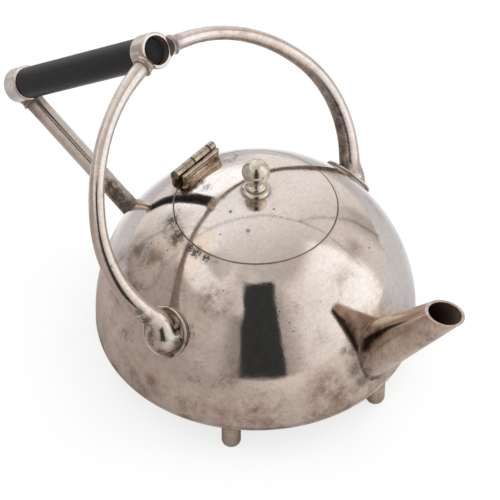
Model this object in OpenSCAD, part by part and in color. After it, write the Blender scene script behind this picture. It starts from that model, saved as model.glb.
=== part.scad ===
// Hemispherical teapot with a slanting bar handle.
// The pot stands on six peg feet. Z is up, the spout points to +X and the handle to -X.
// The origin is on the table, under the middle of the outline seen from above.

/* [Pot] */
// Radius of the round body, outside
body_r = 80; // [70:1:92]
// Height of the ball's centre above the flat base
ball_rise = 2.75; // [1.5:0.25:4]
// Wall thickness of the body
wall = 1.6; // [1.2:0.1:2]
// Thickness of the flat base plate
base_t = 1.4; // [1:0.1:2]
// How far the base plate stands out past the body
base_lip = 0.2; // [0.1:0.1:0.6]

/* [Feet] */
// Diameter of a peg foot
foot_d = 9.4; // [7:0.2:12]
// Length of a peg foot below the base plate
foot_len = 16; // [10:0.5:22]
// How far inside the base's edge the front three feet stand
foot_inset = 5.65; // [4.7:0.05:14]
// How much nearer the axis the rear three feet stand
foot_set_in = 3.3; // [0:0.1:8]
// Radius of the rounding at a foot's tip
foot_round = 3.2; // [2:0.1:4]

/* [Lid] */
// Radius of the lid's edge
lid_r = 39.5; // [34:0.5:44]
// Thickness of the lid
lid_t = 1.2; // [1:0.1:1.3]
// Gap between the lid's edge and the body
lid_gap = 0.4; // [0.35:0.05:0.6]
// Width of the seat ring's ledge under the lid's edge
seat_w = 3.7; // [3:0.1:5]
// Thickness of the seat ring
seat_t = 1.6; // [1.2:0.1:2.2]
// Depth of the band under the lid
band_h = 4.5; // [3:0.5:5]
// Thickness of the band under the lid
band_t = 1.2; // [0.8:0.1:1.6]
// Side gap between the band and the seat ring
band_gap = 0.8; // [0.7:0.05:1.2]

/* [Finial] */
// Diameter of the ball on the lid
finial_d = 13.6; // [11:0.2:16]
// Height of the ball's centre above the top of the lid
finial_rise = 12.2; // [11:0.1:14]
// Radius of the round foot of the finial
finial_foot_r = 6.9; // [6:0.1:8]
// Radius of the ring above the foot of the finial
finial_ring_r = 5.2; // [4.6:0.1:5.6]
// Radius of the finial's neck
finial_neck_r = 3.4; // [2.8:0.1:4]
// Diameter of the screw that passes through the lid
stud_d = 3; // [2.5:0.1:4]
// Width of the nut across its flats
nut_w = 7; // [6:0.5:9]
// Thickness of the nut
nut_t = 2.4; // [2:0.1:3]

/* [Spout] */
// How far the middle of the spout's mouth stands out past the ball
mouth_out = 35.3; // [28:0.1:42]
// Height of the spout's mouth above the base
mouth_z = 73.4; // [66:0.1:80]
// Slope of the spout
spout_slope = 51.3; // [46:0.1:56]
// Radius of the spout at its mouth
spout_r = 7.8; // [6.5:0.1:9]
// Growth of the radius for each millimetre towards the body
spout_taper = 0.0766; // [0.05:0.0001:0.1]
// Wall thickness of the spout
spout_wall = 1.2; // [0.9:0.1:1.6]
// Diameter of a strainer hole in the body
strainer_d = 3.4; // [2.5:0.1:4]
// Distance of the outer strainer holes from the middle one
strainer_ring = 6.6; // [5.5:0.1:7.5]

/* [Hinge] */
// How far the hinge axis lies inside the lid's edge
hinge_in = 0.2; // [-0.3:0.1:0.7]
// Height of the hinge axis above the ball
hinge_rise = 6.57; // [6:0.01:7.5]
// Outside radius of a knuckle
knuckle_r = 2.3; // [2:0.1:2.4]
// Number of knuckles
knuckle_count = 5; // [3:2:7]
// Length of the hinge barrel
barrel_len = 28.6; // [24:0.2:32]
// Gap between two knuckles
knuckle_gap = 0.3; // [0.2:0.05:0.4]
// How far the gaps lie off the middle, towards the left arm, so that the two end knuckles differ in length
knuckle_shift = 1.35; // [-1.5:0.05:1.5]
// Radius of the hinge pin
pin_r = 0.9; // [0.7:0.05:1.1]
// Running clearance of the pin in the lid's knuckles
pin_play = 0.05; // [0.03:0.01:0.08]
// Thickness of a hinge leaf
leaf_t = 1.7; // [1.4:0.1:2]

/* [Grip] */
// How far the front socket's mouth stands in front of the point where the arms would meet
socket_ahead = 2.46; // [0:0.01:6]
// How far the grip's axis passes above that point
socket_over = 1.01; // [-2:0.01:3]
// Slope of the grip
grip_slope = 38.7; // [36:0.1:41]
// Length over both sockets
grip_len = 123.7; // [116:0.1:130]
// Diameter of the grip
grip_d = 16.1; // [15:0.1:17]
// Outside diameter of a socket
socket_d = 18.1; // [17.6:0.1:20]
// Bore of a socket
socket_bore = 14.2; // [12.5:0.1:14.6]
// Length of a socket
socket_len = 10.4; // [9:0.1:13]
// Length of the grip's end inside a socket
tenon_len = 6; // [5:0.1:7]
// Diameter of the pins that hold the grip
pin_d = 1.5; // [1.2:0.1:2]

/* [Arms] */
// Slope of the arms' plane, measured as the slope of its normal
arm_tilt = 37; // [35:0.1:39]
// How far the arms' plane passes in front of the pad's middle
arm_ahead = 4.3; // [3:0.1:6]
// How far inside the pad's middle the arm's curve starts
arm_in = 2.3; // [1:0.1:4]
// How far above the pad's middle the arm's curve starts
arm_up = 2.6; // [1.5:0.1:4]
// Direction of the arm at the start of its curve
arm_start = 48.4; // [46:0.1:51]
// Radius of the lower bend
bend_low = 54.4; // [50:0.1:58]
// Angle of the lower bend
bend_low_angle = 68.65; // [64:0.05:72]
// Angle of the upper bend
bend_high_angle = 53.07; // [50:0.01:54]
// Distance of the arm's upper end from the pot's middle plane
arm_end_y = 11.44; // [10:0.01:14]
// Radius of the arm near the body
arm_r_low = 5.2; // [4.6:0.1:5.8]
// Radius of the arm where it is slimmest
arm_r_slim = 3.5; // [3.2:0.05:4]
// Radius of the arm at the front socket
arm_r_top = 4.1; // [3.8:0.05:4.6]
// Radius of the stub that takes the arm's end
stub_r = 5.1; // [4.8:0.1:5.6]

/* [Pads] */
// Radius of the round pad under each arm
pad_r = 12.8; // [11:0.1:14]
// Height of the pad's middle round the ball, as an angle
pad_rise = 29; // [26:0.5:32]
// Bearing of the pad from the spout
pad_bearing = 88.4; // [86:0.1:91]
// Height of the pad above the ball
pad_t = 1.1; // [0.8:0.1:1.6]
// Width of the groove and the rim round the arm's flared foot
groove_w = 2; // [1.8:0.1:3.5]

/* [Strut] */
// Distance of the strut's top end below the grip's axis
strut_drop = 10.49; // [10:0.01:13]
// How far the strut's top end lies in front of the middle of the rear socket
strut_ahead = 0.28; // [-2:0.01:3]
// Height of the strut's foot round the ball, as an angle
strut_rise = 10.76; // [6:0.01:16]
// Radius of the strut
strut_r = 4.9; // [4.3:0.1:5.4]
// Radius of the flared collar where the strut meets the body
strut_foot_r = 6.4; // [5.6:0.1:8]

/* [Hidden] */
$fn = 96;
silver = [0.74, 0.71, 0.68];
dull_silver = [0.62, 0.58, 0.54];
gilt = [0.66, 0.59, 0.43];
ebony = [0.07, 0.07, 0.07];
eps = 0.01;
// A length that reaches past the whole pot, for the shapes that cut it.
far = 3 * body_r;
ball_in = body_r - wall;
lid_in = body_r - lid_t;
foot_top = base_t + foot_len;
base_edge = sqrt(pow(body_r, 2) - pow(ball_rise, 2));
foot_ring = base_edge - foot_inset;
// The feet were set by eye, so they aren't quite evenly spaced.
foot_bearings = [2.4, 61, 121, 181, 238.5, 300.6];
mouth_r = lid_r + lid_gap;
seat_in = mouth_r - seat_w;
band_out = seat_in - band_gap;
lid_top = ball_rise + body_r;
lid_cut = ball_rise + 0.7 * body_r;
hinge_x = lid_r - hinge_in;
hinge_z = ball_rise + sqrt(pow(body_r, 2) - pow(hinge_x, 2)) + hinge_rise;
// The seat ring is cut away here, so that the lid's heel can swing.
heel_w = barrel_len + 10;
washer_t = 0.9;
washer_r = nut_w / 2 + 1;
washer_top = ball_rise + sqrt(pow(lid_in, 2) - pow(washer_r, 2));
leaf_len = barrel_len - 2;
lid_leaf_shift = 0.7;
body_leaf_back = 2.9;
knuckle_pitch = (barrel_len + knuckle_gap) / knuckle_count;
leaf_near = knuckle_r + 0.4;
tenon_r = socket_bore / 2 - 0.05;
spigot_len = 4;
spigot_r = 2.6;
spigot_play = 0.05;
slice_t = 0.2;
flare_turn = 9;
flare_steps = 10;
arm_steps = 22;

// The spout, from its mouth to the ball along its axis.
mouth_x = body_r + mouth_out;
mouth_reach = mouth_x * cos(spout_slope) + (mouth_z - ball_rise) * sin(spout_slope);
mouth_far = pow(mouth_x, 2) + pow(mouth_z - ball_rise, 2);
spout_len = mouth_reach - sqrt(pow(mouth_reach, 2) - mouth_far + pow(body_r, 2));

// The pads, and the arms' plane through them.
pad_dir = [cos(pad_rise) * cos(pad_bearing), cos(pad_rise) * sin(pad_bearing), sin(pad_rise)];
pad_top = [0, 0, ball_rise] + (body_r + pad_t) * pad_dir;
arm_offset = pad_top[0] * cos(arm_tilt) + pad_top[2] * sin(arm_tilt) + arm_ahead;
arm_y = pad_top[1] - arm_in;
arm_w = pad_top[2] * cos(arm_tilt) - pad_top[0] * sin(arm_tilt) + arm_up;
arm_middle = arm_start + bend_low_angle;
turn_all = bend_low_angle + bend_high_angle;
arm_finish = arm_start + turn_all;
// The upper bend takes whatever is left of the way to the socket.
bend_left = arm_y + bend_low * (sin(arm_middle) - sin(arm_start)) - arm_end_y;
bend_high = bend_left / (sin(arm_middle) - sin(arm_finish));
bend_end = bend([arm_y, arm_w], arm_start, bend_low, bend_low_angle);

// The point where the arms would meet, and the sockets measured from it.
arm_end = arm_point(turn_all);
end_dir = arm_dir(turn_all);
meeting = arm_end - arm_end[1] / end_dir[1] * end_dir;
stub_len = norm(meeting - arm_end) - socket_bore / 4;
grip_x = socket_over * sin(grip_slope) - socket_ahead * cos(grip_slope) - meeting[0];
grip_z = meeting[2] + socket_ahead * sin(grip_slope) + socket_over * cos(grip_slope);
rear_x = grip_x + (grip_len - socket_len / 2) * cos(grip_slope);
rear_z = grip_z - (grip_len - socket_len / 2) * sin(grip_slope);

// The strut runs from under the rear socket to the ball.
strut_x = rear_x - strut_drop * sin(grip_slope) - strut_ahead * cos(grip_slope);
strut_z = rear_z - strut_drop * cos(grip_slope) + strut_ahead * sin(grip_slope);
strut_dx = strut_x - body_r * cos(strut_rise);
strut_dz = strut_z - ball_rise - body_r * sin(strut_rise);
strut_slope = atan2(strut_dz, strut_dx);
strut_len = norm([strut_dx, strut_dz]);
collar_len = 4;
strut_spigot = strut_drop - socket_d / 2 + 0.5;

// The body's axis stands this far forward of the outline's middle.
front_reach = mouth_x + spout_r / (sin(spout_slope) + spout_taper * cos(spout_slope));
back_reach = grip_x + grip_len * cos(grip_slope) + (socket_d / 2 - 0.4) * sin(grip_slope);
pot_x = (back_reach - front_reach) / 2;

// Everything is drawn round the middle of the base, then set on the table.
module on_table() {
  translate([pot_x, 0, foot_top])
    children();
}

module ball(r) {
  translate([0, 0, ball_rise])
    sphere(r = r, $fn = 160);
}

// A ring between two radii that is taller than the pot.
module tall_ring(r_out, r_in) {
  difference() {
    cylinder(h = far, r = r_out);
    translate([0, 0, -1])
      cylinder(h = far + 2, r = r_in);
  }
}

// ---- Pot ----

module body_shell() {
  color(silver) on_table() {
    difference() {
      ball(body_r);
      ball(ball_in);
      translate([0, 0, -far])
        cylinder(h = far, r = far);
      translate([0, 0, lid_cut])
        cylinder(h = far, r = mouth_r);
      spout_frame()
        strainer_holes();
    }
  }
}

module base_plate() {
  rim = base_edge + base_lip;
  color(silver) on_table()
    rotate_extrude()
      polygon([[0, 0], [rim - 0.2, 0], [rim, -0.3], [rim - 0.2, -base_t], [0, -base_t]]);
}

// A straight peg with a rounded tip and a small flat to stand on.
module foot(i) {
  reach = foot_ring - ((i > 1 && i < 5) ? foot_set_in : 0);
  inner = foot_d / 2 - foot_round;
  color(dull_silver) on_table()
    rotate([0, 0, foot_bearings[i]])
      translate([reach, 0, -foot_top]) {
        translate([0, 0, foot_round])
          cylinder(h = foot_len - foot_round, d = foot_d);
        cylinder(h = foot_round + eps, r = inner);
        translate([0, 0, foot_round])
          rotate_extrude()
            translate([inner, 0])
              intersection() {
                circle(r = foot_round);
                translate([0, -foot_round])
                  square([foot_round, foot_round + eps]);
              }
      }
}

// The ledge the lid closes on. It lies against the inside of the body.
module mouth_ring() {
  color(silver) on_table()
    difference() {
      intersection() {
        difference() {
          ball(ball_in);
          ball(ball_in - seat_t);
        }
        tall_ring(mouth_r + 3, seat_in);
      }
      intersection() {
        translate([-far, -heel_w / 2, 0])
          cube([far, heel_w, far]);
        cylinder(h = far, r = mouth_r + 0.3);
      }
    }
}

// ---- Spout ----

module spout_frame() {
  translate([mouth_x, 0, mouth_z])
    rotate([0, 90 - spout_slope, 0])
      children();
}

// A cone along the spout that reaches from below its root to above its mouth.
module spout_cone(extra) {
  low = spout_len + 2.5 * spout_r + 14;
  high = 2 * spout_r;
  r = spout_r + extra;
  translate([0, 0, -low])
    cylinder(h = low + high, r1 = r + low * spout_taper, r2 = r - high * spout_taper);
}

module strainer_holes() {
  translate([0, 0, -spout_len - 18]) {
    cylinder(h = 36, d = strainer_d);
    for (i = [0:5])
      rotate([0, 0, i * 60])
        translate([strainer_ring, 0, 0])
          cylinder(h = 36, d = strainer_d);
  }
}

module spout() {
  color(silver) on_table()
    difference() {
      spout_frame()
        difference() {
          spout_cone(0);
          spout_cone(-spout_wall);
        }
      ball(body_r);
      translate([0, -far, mouth_z])
        cube([far, 2 * far, far]);
    }
}

// The low bead of solder round the spout's root.
module spout_bead() {
  color(dull_silver) on_table()
    difference() {
      intersection() {
        ball(body_r + 0.8);
        spout_frame()
          spout_cone(1.1);
      }
      ball(body_r);
      spout_frame()
        spout_cone(0);
    }
}

// ---- Lid ----

module lid_shell() {
  color(silver) on_table()
    difference() {
      intersection() {
        ball(body_r);
        translate([0, 0, lid_cut])
          cylinder(h = far, r = lid_r);
      }
      ball(lid_in);
      translate([0, 0, lid_cut])
        cylinder(h = far, d = stud_d + 0.1);
    }
}

module lid_band() {
  under = ball_rise + sqrt(pow(lid_in, 2) - pow(band_out, 2));
  color(silver) on_table()
    intersection() {
      ball(lid_in);
      translate([0, 0, under - band_h])
        difference() {
          cylinder(h = 20, r = band_out);
          translate([0, 0, -1])
            cylinder(h = 22, r = band_out - band_t);
        }
    }
}

module ring_bead(r, t) {
  rotate_extrude()
    translate([r - t, 0])
      circle(r = t, $fn = 32);
}

module finial() {
  color(silver) on_table()
    translate([0, 0, lid_top]) {
      difference() {
        union() {
          translate([0, 0, finial_rise])
            sphere(d = finial_d);
          translate([0, 0, -1])
            cylinder(h = 2, r = finial_foot_r - 1);
          translate([0, 0, 0.9])
            ring_bead(finial_foot_r, 1.2);
          translate([0, 0, 0.5])
            cylinder(h = 2, r1 = finial_foot_r - 0.9, r2 = finial_ring_r - 0.4);
          translate([0, 0, 3])
            ring_bead(finial_ring_r, 0.75);
          translate([0, 0, 2])
            cylinder(h = 1.5, r = finial_ring_r - 0.75);
          translate([0, 0, 3.2])
            cylinder(h = 1.2, r1 = finial_ring_r - 0.6, r2 = finial_neck_r);
          translate([0, 0, 4.3])
            cylinder(h = 4, r = finial_neck_r);
        }
        translate([0, 0, -body_r])
          sphere(r = body_r, $fn = 160);
      }
      translate([0, 0, -lid_t - 5])
        cylinder(h = 6.5, d = stud_d);
    }
}

module finial_washer() {
  color(silver) on_table()
    translate([0, 0, washer_top - washer_t])
      difference() {
        cylinder(h = washer_t, r = washer_r);
        translate([0, 0, -1])
          cylinder(h = washer_t + 2, d = stud_d + 0.1);
      }
}

module finial_nut() {
  color(gilt) on_table()
    translate([0, 0, washer_top - washer_t - nut_t])
      difference() {
        cylinder(h = nut_t, d = nut_w / cos(30), $fn = 6);
        translate([0, 0, -1])
          cylinder(h = nut_t + 2, d = stud_d + 0.1);
      }
}

// ---- Hinge ----

module hinge_frame() {
  translate([-hinge_x, 0, hinge_z])
    children();
}

// The middle of the gap before knuckle i.
function knuckle_joint(i) = (i - knuckle_count / 2) * knuckle_pitch + knuckle_shift;

// One knuckle with the web that joins it to the leaf between the two distances given.
module knuckle(i, from, to, drop) {
  y = i == 0 ? -barrel_len / 2 : knuckle_joint(i) + knuckle_gap / 2;
  end = i == knuckle_count - 1 ? barrel_len / 2 : knuckle_joint(i + 1) - knuckle_gap / 2;
  translate([0, y, 0]) {
    rotate([-90, 0, 0])
      cylinder(h = end - y, r = knuckle_r);
    translate([from, 0, -drop])
      cube([to - from, end - y, drop]);
  }
}

module pin_bore(r) {
  translate([0, -barrel_len, 0])
    rotate([-90, 0, 0])
      cylinder(h = 2 * barrel_len, r = r);
}

module hinge_body_leaf() {
  color(gilt) on_table()
    difference() {
      hinge_frame()
        difference() {
          union() {
            for (i = [0:2:knuckle_count - 1])
              knuckle(i, -body_leaf_back, 0, knuckle_r + 1);
            translate([-body_leaf_back, -leaf_len / 2, -14])
              cube([leaf_t, leaf_len, 14 - knuckle_r - knuckle_gap]);
          }
          pin_bore(pin_r + 0.02);
        }
      ball(body_r);
    }
}

module hinge_lid_leaf() {
  color(gilt) on_table()
    difference() {
      hinge_frame()
        difference() {
          union() {
            for (i = [1:2:knuckle_count - 1])
              knuckle(i, 0, leaf_near + 0.5, knuckle_r);
            translate([leaf_near, lid_leaf_shift - leaf_len / 2, -10])
              cube([leaf_t, leaf_len, 10.2]);
          }
          pin_bore(pin_r + pin_play);
        }
      ball(body_r);
    }
}

module hinge_pin() {
  color(gilt) on_table()
    hinge_frame()
      translate([0, -barrel_len / 2 + 0.3, 0])
        rotate([-90, 0, 0])
          cylinder(h = barrel_len - 0.6, r = pin_r);
}

// ---- Handle ----

// Local Z runs back and down along the grip from the front socket's mouth.
module grip_frame() {
  translate([-grip_x, 0, grip_z])
    rotate([0, -90 - grip_slope, 0])
      children();
}

module grip() {
  body_len = grip_len - 2 * socket_len;
  color(ebony) on_table()
    grip_frame()
      difference() {
        union() {
          translate([0, 0, socket_len])
            cylinder(h = body_len, d = grip_d);
          translate([0, 0, socket_len - tenon_len])
            cylinder(h = body_len + 2 * tenon_len, r = tenon_r);
        }
        front_pin_place()
          cross_bar(far, pin_d + 0.04);
        rear_pin_place()
          cross_bar(far, pin_d + 0.04);
        // Both ends are dished.
        for (end = [-1, 1])
          translate([0, 0, grip_len / 2 + end * (body_len / 2 + tenon_len + 14)])
            sphere(r = 15.2);
      }
}

// A ring round the grip's end with a bore right through.
module socket_ring() {
  rotate_extrude()
    polygon([[0, 0], [socket_d / 2 - 0.4, 0], [socket_d / 2, 0.4], [socket_d / 2, socket_len - 0.4],
             [socket_d / 2 - 0.4, socket_len], [0, socket_len]]);
}

module socket_bores() {
  translate([0, 0, -1])
    cylinder(h = socket_len + 2, d = socket_bore);
}

// The front pin stands upright and the rear one lies across, clear of the arms and the strut.
module front_pin_place() {
  translate([0, 0, socket_len - tenon_len / 2])
    children();
}

module rear_pin_place() {
  translate([0, 0, grip_len - socket_len + tenon_len / 2])
    rotate([0, 0, 90])
      children();
}

module cross_bar(h, d) {
  rotate([0, 90, 0])
    cylinder(h = h, d = d, center = true);
}

module grip_pin_front() {
  color(silver) on_table()
    grip_frame()
      front_pin_place()
        cross_bar(socket_d - 0.2, pin_d);
}

module grip_pin_rear() {
  color(silver) on_table()
    grip_frame()
      rear_pin_place()
        cross_bar(socket_d - 0.2, pin_d);
}

// ---- Arms ----

// A point of the arms' sloping plane.
function arm_plane(yw) = [arm_offset * cos(arm_tilt) - yw[1] * sin(arm_tilt), yw[0],
                          arm_offset * sin(arm_tilt) + yw[1] * cos(arm_tilt)];
// Walk round a bend: p + r * ([sin, -cos](a + t) - [sin, -cos](a)).
function bend(p, a, r, t) = p + r * [sin(a + t) - sin(a), cos(a) - cos(a + t)];
// The arm's centre line by its turn in degrees from the start of the lower bend.
function arm_yw(t) = t < bend_low_angle ? bend([arm_y, arm_w], arm_start, bend_low, t)
                   : bend(bend_end, arm_middle, bend_high, t - bend_low_angle);
function arm_point(t) = arm_plane(arm_yw(t));
function arm_dir(t) = [-sin(arm_start + t) * sin(arm_tilt), cos(arm_start + t),
                       sin(arm_start + t) * cos(arm_tilt)];
// The radius narrows up the arm and opens again at the socket.
function arm_radius(u) = u < 0.8 ? arm_r_low + (arm_r_slim - arm_r_low) * pow(u / 0.8, 0.8)
                       : arm_r_slim + (arm_r_top - arm_r_slim) * pow((u - 0.8) / 0.2, 2);
// A cubic from the pad into the lower bend, leaving the pad square.
flare_points = [pad_top, pad_top + 3.5 * pad_dir,
                arm_point(flare_turn) - 4.5 * arm_dir(flare_turn), arm_point(flare_turn)];
function cubic(t) = pow(1 - t, 3) * flare_points[0] + 3 * t * pow(1 - t, 2) * flare_points[1]
                  + 3 * t * t * (1 - t) * flare_points[2] + pow(t, 3) * flare_points[3];
function cubic_dir(t) = pow(1 - t, 2) * (flare_points[1] - flare_points[0])
                      + 2 * t * (1 - t) * (flare_points[2] - flare_points[1])
                      + t * t * (flare_points[3] - flare_points[2]);
// The arm's foot opens like a trumpet's bell, and leaves a groove inside the pad's rim.
function flare_radius(t) = arm_r_low + (pad_r - groove_w - arm_r_low) * pow(1 - t, 4);

module slice(p, d, r) {
  translate(p)
    rotate([0, acos(d[2] / norm(d)), atan2(d[1], d[0])])
  cylinder(h = slice_t, r = r, $fn = 32, center = true);
}

module arm_body() {
  for (i = [0:flare_steps - 1])
    hull() {
      flare_slice(i / flare_steps);
      flare_slice((i + 1) / flare_steps);
    }
  for (i = [0:arm_steps - 1])
    hull() {
      arm_slice(i / arm_steps);
      arm_slice((i + 1) / arm_steps);
    }
}

module flare_slice(t) {
  slice(cubic(t), cubic_dir(t), flare_radius(t));
}

module arm_slice(u) {
  turn = flare_turn + u * (turn_all - flare_turn);
  slice(arm_point(turn), arm_dir(turn), arm_radius(u));
}

// Local Z leaves the arm's end and runs into the socket's stub.
module arm_end_frame() {
  d = arm_dir(turn_all);
  translate(arm_point(turn_all))
    rotate([0, acos(d[2]), atan2(d[1], d[0])])
      children();
}

// Local Z leaves the ball through the middle of a pad, from the ball's surface.
module pad_frame() {
  translate([0, 0, ball_rise])
    rotate([0, 90 - pad_rise, pad_bearing])
      translate([0, 0, body_r])
        children();
}

module arm(side) {
  color(silver) on_table()
    mirror([0, side < 0 ? 1 : 0, 0]) {
      difference() {
        arm_body();
        pad_frame()
          translate([0, 0, pad_t - 20])
            cylinder(h = 20, r = pad_r + 10);
        arm_end_frame()
          cylinder(h = 2, r = arm_r_top + 2);
      }
      arm_end_frame()
        translate([0, 0, -1])
          cylinder(h = spigot_len + 1, r = spigot_r);
    }
}

module pad(side) {
  under = -pow(pad_r, 2) / (2 * body_r) - 0.4;
  rim = pad_t + 0.4;
  color(silver) on_table()
    difference() {
      mirror([0, side < 0 ? 1 : 0, 0])
        pad_frame()
          rotate_extrude()
            polygon([[0, under], [pad_r, under], [pad_r, rim - 0.3], [pad_r - 0.3, rim],
                     [pad_r - 0.8, rim], [pad_r - 1.8, pad_t], [0, pad_t]]);
      ball(body_r);
    }
}

module front_socket() {
  color(silver) on_table()
    difference() {
      union() {
        grip_frame()
          socket_ring();
        for (side = [0, 1])
          mirror([0, side, 0])
            arm_end_frame()
              cylinder(h = stub_len, r = stub_r);
      }
      grip_frame() {
        socket_bores();
        front_pin_place()
          cross_bar(far, pin_d + 0.04);
      }
      for (side = [0, 1])
        mirror([0, side, 0])
          arm_end_frame()
            translate([0, 0, -1])
              cylinder(h = spigot_len + 1.3, r = spigot_r + spigot_play);
    }
}

// ---- Strut ----

// Local Z runs forward and down from the strut's top end.
module strut_frame() {
  translate([-strut_x, 0, strut_z])
    rotate([0, 90 + strut_slope, 0])
      children();
}

module rear_socket() {
  color(silver) on_table()
    difference() {
      union() {
        grip_frame()
          translate([0, 0, grip_len - socket_len])
            socket_ring();
        strut_frame()
          translate([0, 0, 2.5 - strut_drop])
            cylinder(h = strut_drop - 2.5, r = strut_r + 1);
      }
      grip_frame() {
        translate([0, 0, grip_len - socket_len])
          socket_bores();
        rear_pin_place()
          cross_bar(far, pin_d + 0.04);
      }
      strut_frame()
        translate([0, 0, -strut_spigot - 0.2])
          cylinder(h = strut_spigot + 1, r = spigot_r + spigot_play);
    }
}

module strut() {
  color(silver) on_table()
    difference() {
      strut_frame() {
        cylinder(h = strut_len + collar_len, r = strut_r);
        translate([0, 0, -strut_spigot])
          cylinder(h = strut_spigot + 1, r = spigot_r);
      }
      ball(body_r);
    }
}

// The flared collar where the strut meets the body.
module strut_foot() {
  low = strut_r + 0.2;
  growth = (strut_foot_r - low) / collar_len;
  deep = collar_len + strut_r;
  color(dull_silver) on_table()
    difference() {
      strut_frame()
        translate([0, 0, strut_len - collar_len])
          cylinder(h = deep, r1 = low, r2 = low + growth * deep);
      ball(body_r);
      strut_frame()
        cylinder(h = far, r = strut_r);
    }
}

body_shell();
base_plate();
foot(0);  // foot_1
foot(1);  // foot_2
foot(2);  // foot_3
foot(3);  // foot_4
foot(4);  // foot_5
foot(5);  // foot_6
mouth_ring();
spout();
spout_bead();
lid_shell();
lid_band();
finial();
finial_washer();
finial_nut();
hinge_body_leaf();
hinge_lid_leaf();
hinge_pin();
grip();
grip_pin_front();
grip_pin_rear();
front_socket();
rear_socket();
arm(1);  // arm_left
arm(-1);  // arm_right
pad(1);  // pad_left
pad(-1);  // pad_right
strut();
strut_foot();
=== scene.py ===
import math
import bmesh
import bpy
import numpy as np
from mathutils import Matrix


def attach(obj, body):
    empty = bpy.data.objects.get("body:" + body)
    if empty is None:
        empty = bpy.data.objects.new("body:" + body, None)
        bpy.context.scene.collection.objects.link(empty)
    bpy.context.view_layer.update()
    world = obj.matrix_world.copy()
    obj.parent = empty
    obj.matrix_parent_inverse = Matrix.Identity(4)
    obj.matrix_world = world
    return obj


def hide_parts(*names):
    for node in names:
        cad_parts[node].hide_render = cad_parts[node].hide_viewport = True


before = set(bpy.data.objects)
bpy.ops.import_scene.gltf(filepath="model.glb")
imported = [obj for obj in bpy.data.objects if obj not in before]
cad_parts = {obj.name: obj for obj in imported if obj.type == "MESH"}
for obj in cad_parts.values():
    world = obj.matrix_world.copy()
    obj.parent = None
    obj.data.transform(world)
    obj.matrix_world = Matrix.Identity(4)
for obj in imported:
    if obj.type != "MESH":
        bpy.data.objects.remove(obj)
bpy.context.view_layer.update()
scene = bpy.context.scene
print("stage: frame loaded,", len(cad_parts), "nodes")

# all sizes below are millimetres, measured from the middle of the pot's flat base
mm = 0.001
pot = {"spot": (19.3714, 0.0, 17.4), "ballRadius": 80.0, "ballRise": 2.75, "wall": 1.6}
ballCentre = np.array([0.0, 0.0, pot["ballRise"]])


# surfaces as whole arrays

def unit(v):
    # each vector divided by its own length
    v = np.asarray(v, float)
    return v / np.linalg.norm(v, axis=-1, keepdims=True)


def dense(points, step):
    # the same line with more points: no two lie further apart than the step
    p = np.asarray(points, float)
    d = np.concatenate([[0.0], np.cumsum(np.linalg.norm(np.diff(p, axis=0), axis=1))])
    s = np.unique(np.round(np.concatenate([d, np.arange(0.0, d[-1], step)]), 4))
    return np.stack([np.interp(s, d, p[:, k]) for k in range(p.shape[1])], 1)


def softCorners(points, radius, loop=True, steps=5):
    # every corner B turns into (1-t)^2 A + 2t(1-t) B + t^2 C, with A and C one radius away along its sides,
    # but never further than most of half a side
    most = 0.48
    p = np.asarray(points, float)
    r = np.broadcast_to(np.asarray(radius, float), (len(p),))[:, None]
    back, ahead = np.roll(p, 1, 0) - p, np.roll(p, -1, 0) - p
    a = p + back * np.minimum(r / np.maximum(np.linalg.norm(back, axis=1, keepdims=True), 1e-9), most)
    c = p + ahead * np.minimum(r / np.maximum(np.linalg.norm(ahead, axis=1, keepdims=True), 1e-9), most)
    if not loop:
        a[0] = c[0] = p[0]
        a[-1] = c[-1] = p[-1]
    t = np.linspace(0, 1, steps)[None, :, None]
    bent = (1 - t) ** 2 * a[:, None] + 2 * t * (1 - t) * p[:, None] + t * t * c[:, None]
    flat = bent.reshape(-1, p.shape[1])
    keep = np.concatenate([[True], np.linalg.norm(np.diff(flat, axis=0), axis=1) > 1e-6])
    return flat[keep]


def closed(line):
    # the line with its first point again at the end
    return np.concatenate([line, line[:1]])


def turned(profile, sides):
    # a profile of (radius, height) turned about Z: x = r cos a, y = r sin a
    a = np.linspace(0, 2 * np.pi, sides, endpoint=False)
    r, z = np.asarray(profile)[:, 0, None], np.asarray(profile)[:, 1, None]
    return np.stack([r * np.cos(a), r * np.sin(a), z + 0 * a], -1)


def basis(along, hint=(0.0, 1.0, 0.0)):
    # three square directions as columns, the last one along the given direction
    z = unit(along)
    x = unit(np.asarray(hint, float) - np.dot(hint, z) * z)
    return np.stack([x, np.cross(z, x), z], 1)


def placed(grid, axes, origin):
    # local points carried to origin + x*X + y*Y + z*Z
    return grid @ np.asarray(axes).T + np.asarray(origin, float)


def swept(centres, tangents, radii, side, turns):
    # circles of the given radii standing square to a path: P = C + r (cos a U + sin a V)
    t = unit(tangents)
    u = unit(side - np.sum(side * t, -1, keepdims=True) * t)
    v = np.cross(t, u)
    a = np.linspace(0, 2 * np.pi, turns, endpoint=False)[None, :, None]
    return centres[:, None] + radii[:, None, None] * (np.cos(a) * u[:, None] + np.sin(a) * v[:, None])


def capped(grid):
    # one more row at each end, drawn together in its middle
    first = grid[:1].mean(1, keepdims=True) + 0 * grid[:1]
    last = grid[-1:].mean(1, keepdims=True) + 0 * grid[-1:]
    return np.concatenate([first, grid, last])


def patch(grid, wrapRows=False, grimeAndShade=0.0):
    # a grid whose columns always close round; its grime value is how much dirt and painted shade each point
    # holds, 0 to 1
    g = np.broadcast_to(np.asarray(grimeAndShade, float), grid.shape[:2])
    return {"grid": grid, "wrapRows": wrapRows, "grimeAndShade": g}


def gridFaces(rows, cols, wrapRows):
    # quads between each point, the next in its row and the two below
    r, c = np.meshgrid(np.arange(rows if wrapRows else rows - 1), np.arange(cols), indexing="ij")
    r2, c2 = (r + 1) % rows, (c + 1) % cols
    return np.stack([r * cols + c, r * cols + c2, r2 * cols + c2, r2 * cols + c], -1).reshape(-1, 4)


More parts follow.
